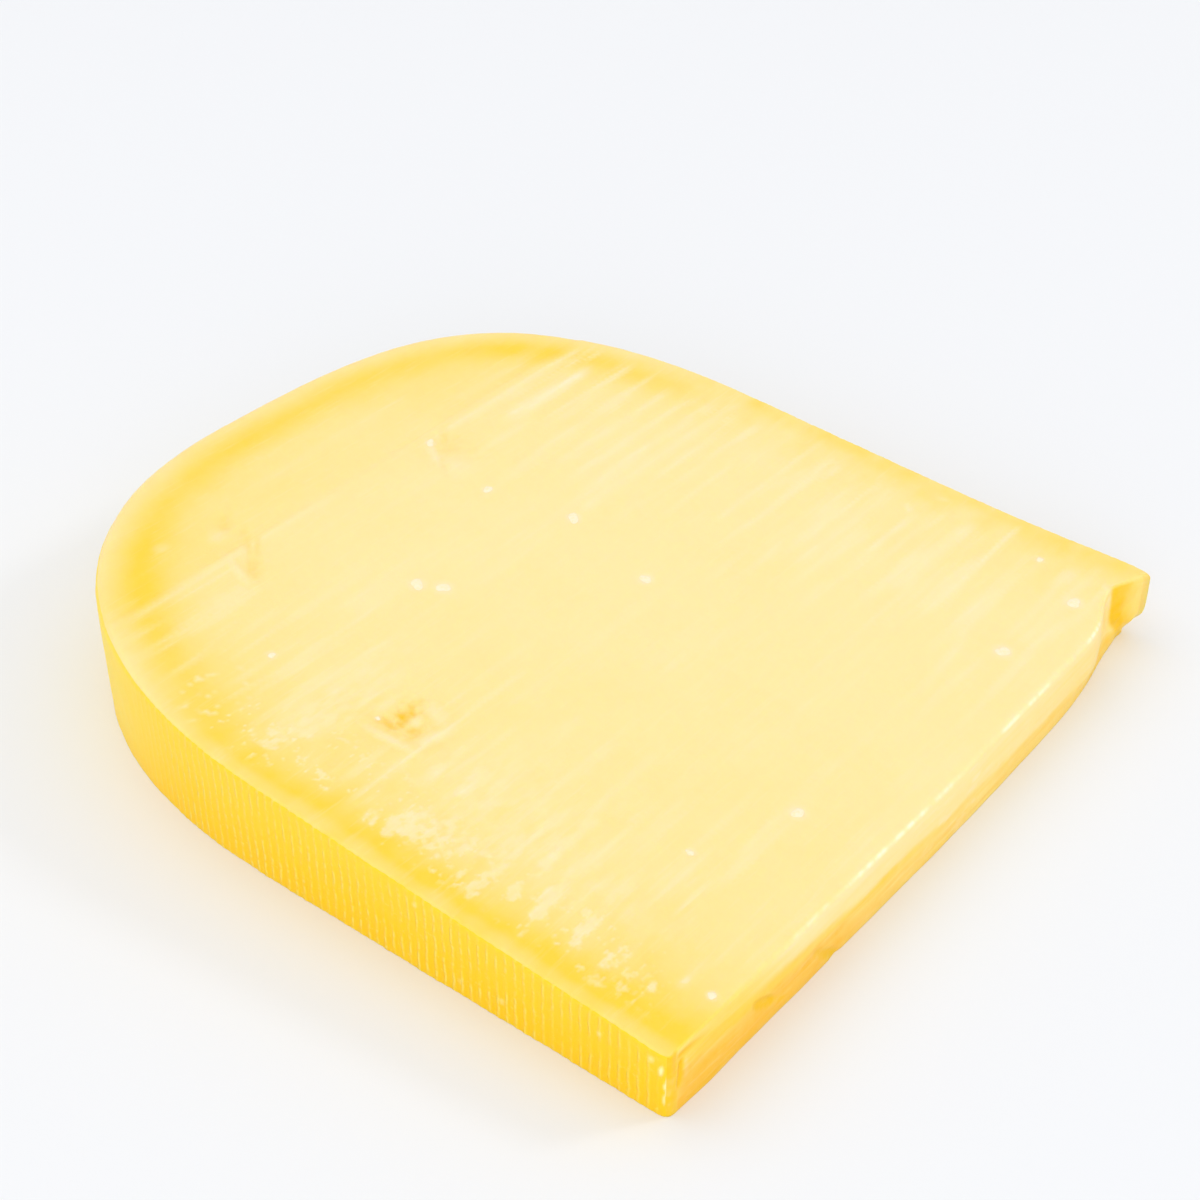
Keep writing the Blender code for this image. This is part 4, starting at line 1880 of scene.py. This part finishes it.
@dataclass(frozen=True)
class CrystalFinish:
    """Chalky cream-white crystals."""

    chalk: Colour = from_srgb(254, 240, 204)
    stain: Colour = from_srgb(254, 236, 186)
    roughness: float = 0.6

    def material(self) -> bpy.types.Material:
        """Make the material."""
        tree = ShaderTree("crystal")
        plain = tree.millimetres()
        grain = tree.noise(plain, 0.4, 3.0)
        colour = tree.mix(grain.between(0.4, 0.7), self.chalk, self.stain)
        normal = tree.bump(grain, 0.08, 0.6)
        roughness = self.roughness + (grain - 0.5) * 0.2
        return tree.finish({"Base Color": colour, "Roughness": roughness, "Normal": normal,
                            "Subsurface Weight": 0.12, "Subsurface Radius": (1.0, 0.9, 0.7),
                            "Subsurface Scale": 1.0 * MM})


@dataclass(frozen=True)
class Softbox:
    """One large soft light, placed by its direction from the cheese."""

    name: str
    azimuth: float
    elevation: float
    distance: float
    size: float
    power: float

    def build(self) -> None:
        """Hang the light and aim it at the cheese."""
        light = bpy.data.lights.new(self.name, "AREA")
        light.shape = "DISK"
        light.size = self.size
        light.energy = self.power
        lamp = bpy.data.objects.new(self.name, light)
        direction = bearing(self.azimuth, self.elevation)
        lamp.location = direction * self.distance
        lamp.rotation_euler = (-direction).to_track_quat("-Z", "Y").to_euler()
        bpy.context.scene.collection.objects.link(lamp)


def bearing(azimuth: float, elevation: float) -> Vector:
    """Direction towards a place around the cheese; azimuth 0 is at -Y and 90 at +X."""
    turn, rise = math.radians(azimuth), math.radians(elevation)
    return Vector((math.sin(turn) * math.cos(rise), -math.cos(turn) * math.cos(rise),
                   math.sin(rise)))


@dataclass
class Studio:
    """Pale floor, soft light and the camera."""

    floor_size: float = 20.0
    floor_gap: float = 0.02
    floor_colour: Colour = (0.855, 0.868, 0.895)
    sky_colour: Colour = (1.0, 1.0, 1.0)
    sky_strength: float = 0.84
    lens: float = 62.06
    sensor: float = 36.0
    azimuth: float = 218.34
    elevation: float = 35.64
    distance: float = 295.77
    aim: tuple[float, float, float] = (5.25, -14.73, 0.0)
    lights: tuple[Softbox, ...] = (
        Softbox("window", 100.0, 58.0, 1.2, 1.1, 2.2),
        Softbox("glint", 322.0, 34.0, 1.3, 0.26, 2.0),
        Softbox("fill", 214.0, 18.0, 1.2, 0.9, 4.0),
    )

    def build(self) -> None:
        """Set the whole stage."""
        self.make_floor()
        self.make_sky()
        for light in self.lights:
            light.build()
        self.make_camera()

    def make_floor(self) -> None:
        """Lay a plain pale floor under the cheese."""
        half = self.floor_size / 2.0
        corners = [(-half, -half), (half, -half), (half, half), (-half, half)]
        mesh = bpy.data.meshes.new("floor")
        mesh.from_pydata([(x, y, -self.floor_gap * MM) for x, y in corners], [], [(0, 1, 2, 3)])
        floor = bpy.data.objects.new("floor", mesh)
        bpy.context.scene.collection.objects.link(floor)
        tree = ShaderTree("floor")
        mesh.materials.append(tree.finish({"Base Color": self.floor_colour, "Roughness": 0.7}))

    def make_sky(self) -> None:
        """Surround the stage with even pale light."""
        world = bpy.data.worlds.new("sky")
        world.use_nodes = True
        background = world.node_tree.nodes["Background"]
        background.inputs["Color"].default_value = (*self.sky_colour, 1.0)
        background.inputs["Strength"].default_value = self.sky_strength
        bpy.context.scene.world = world

    def make_camera(self) -> None:
        """Stand the camera above the front corner of the tip."""
        camera = bpy.data.cameras.new("camera")
        camera.lens = self.lens
        camera.sensor_width = self.sensor
        camera.clip_start = 0.01
        stand = bpy.data.objects.new("camera", camera)
        direction = bearing(self.azimuth, self.elevation)
        stand.location = Vector(self.aim) * MM + direction * self.distance * MM
        stand.rotation_euler = (-direction).to_track_quat("-Z", "Y").to_euler()
        bpy.context.scene.collection.objects.link(stand)
        bpy.context.scene.camera = stand
        bpy.context.scene.view_settings.view_transform = "Standard"


def main() -> None:
    """Build every piece in order and say what was made."""
    logging.basicConfig(level=logging.INFO, format="%(message)s")
    low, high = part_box(NODE)
    cheese_slice = CheeseSlice(low, high)
    cheese = cheese_slice.build()
    cheese.data.materials.append(PasteFinish().material())
    cheese.data.materials.append(RindFinish().material())
    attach(cheese, "root")
    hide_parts(NODE)
    LOG.info("cheese_slice: %d faces", len(cheese.data.polygons))
    crystals = Crystals(cheese_slice).build()
    crystals.data.materials.append(CrystalFinish().material())
    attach(crystals, "root")
    LOG.info("crystals: %d faces", len(crystals.data.polygons))
    Studio().build()


if __name__ == "__main__":
    main()
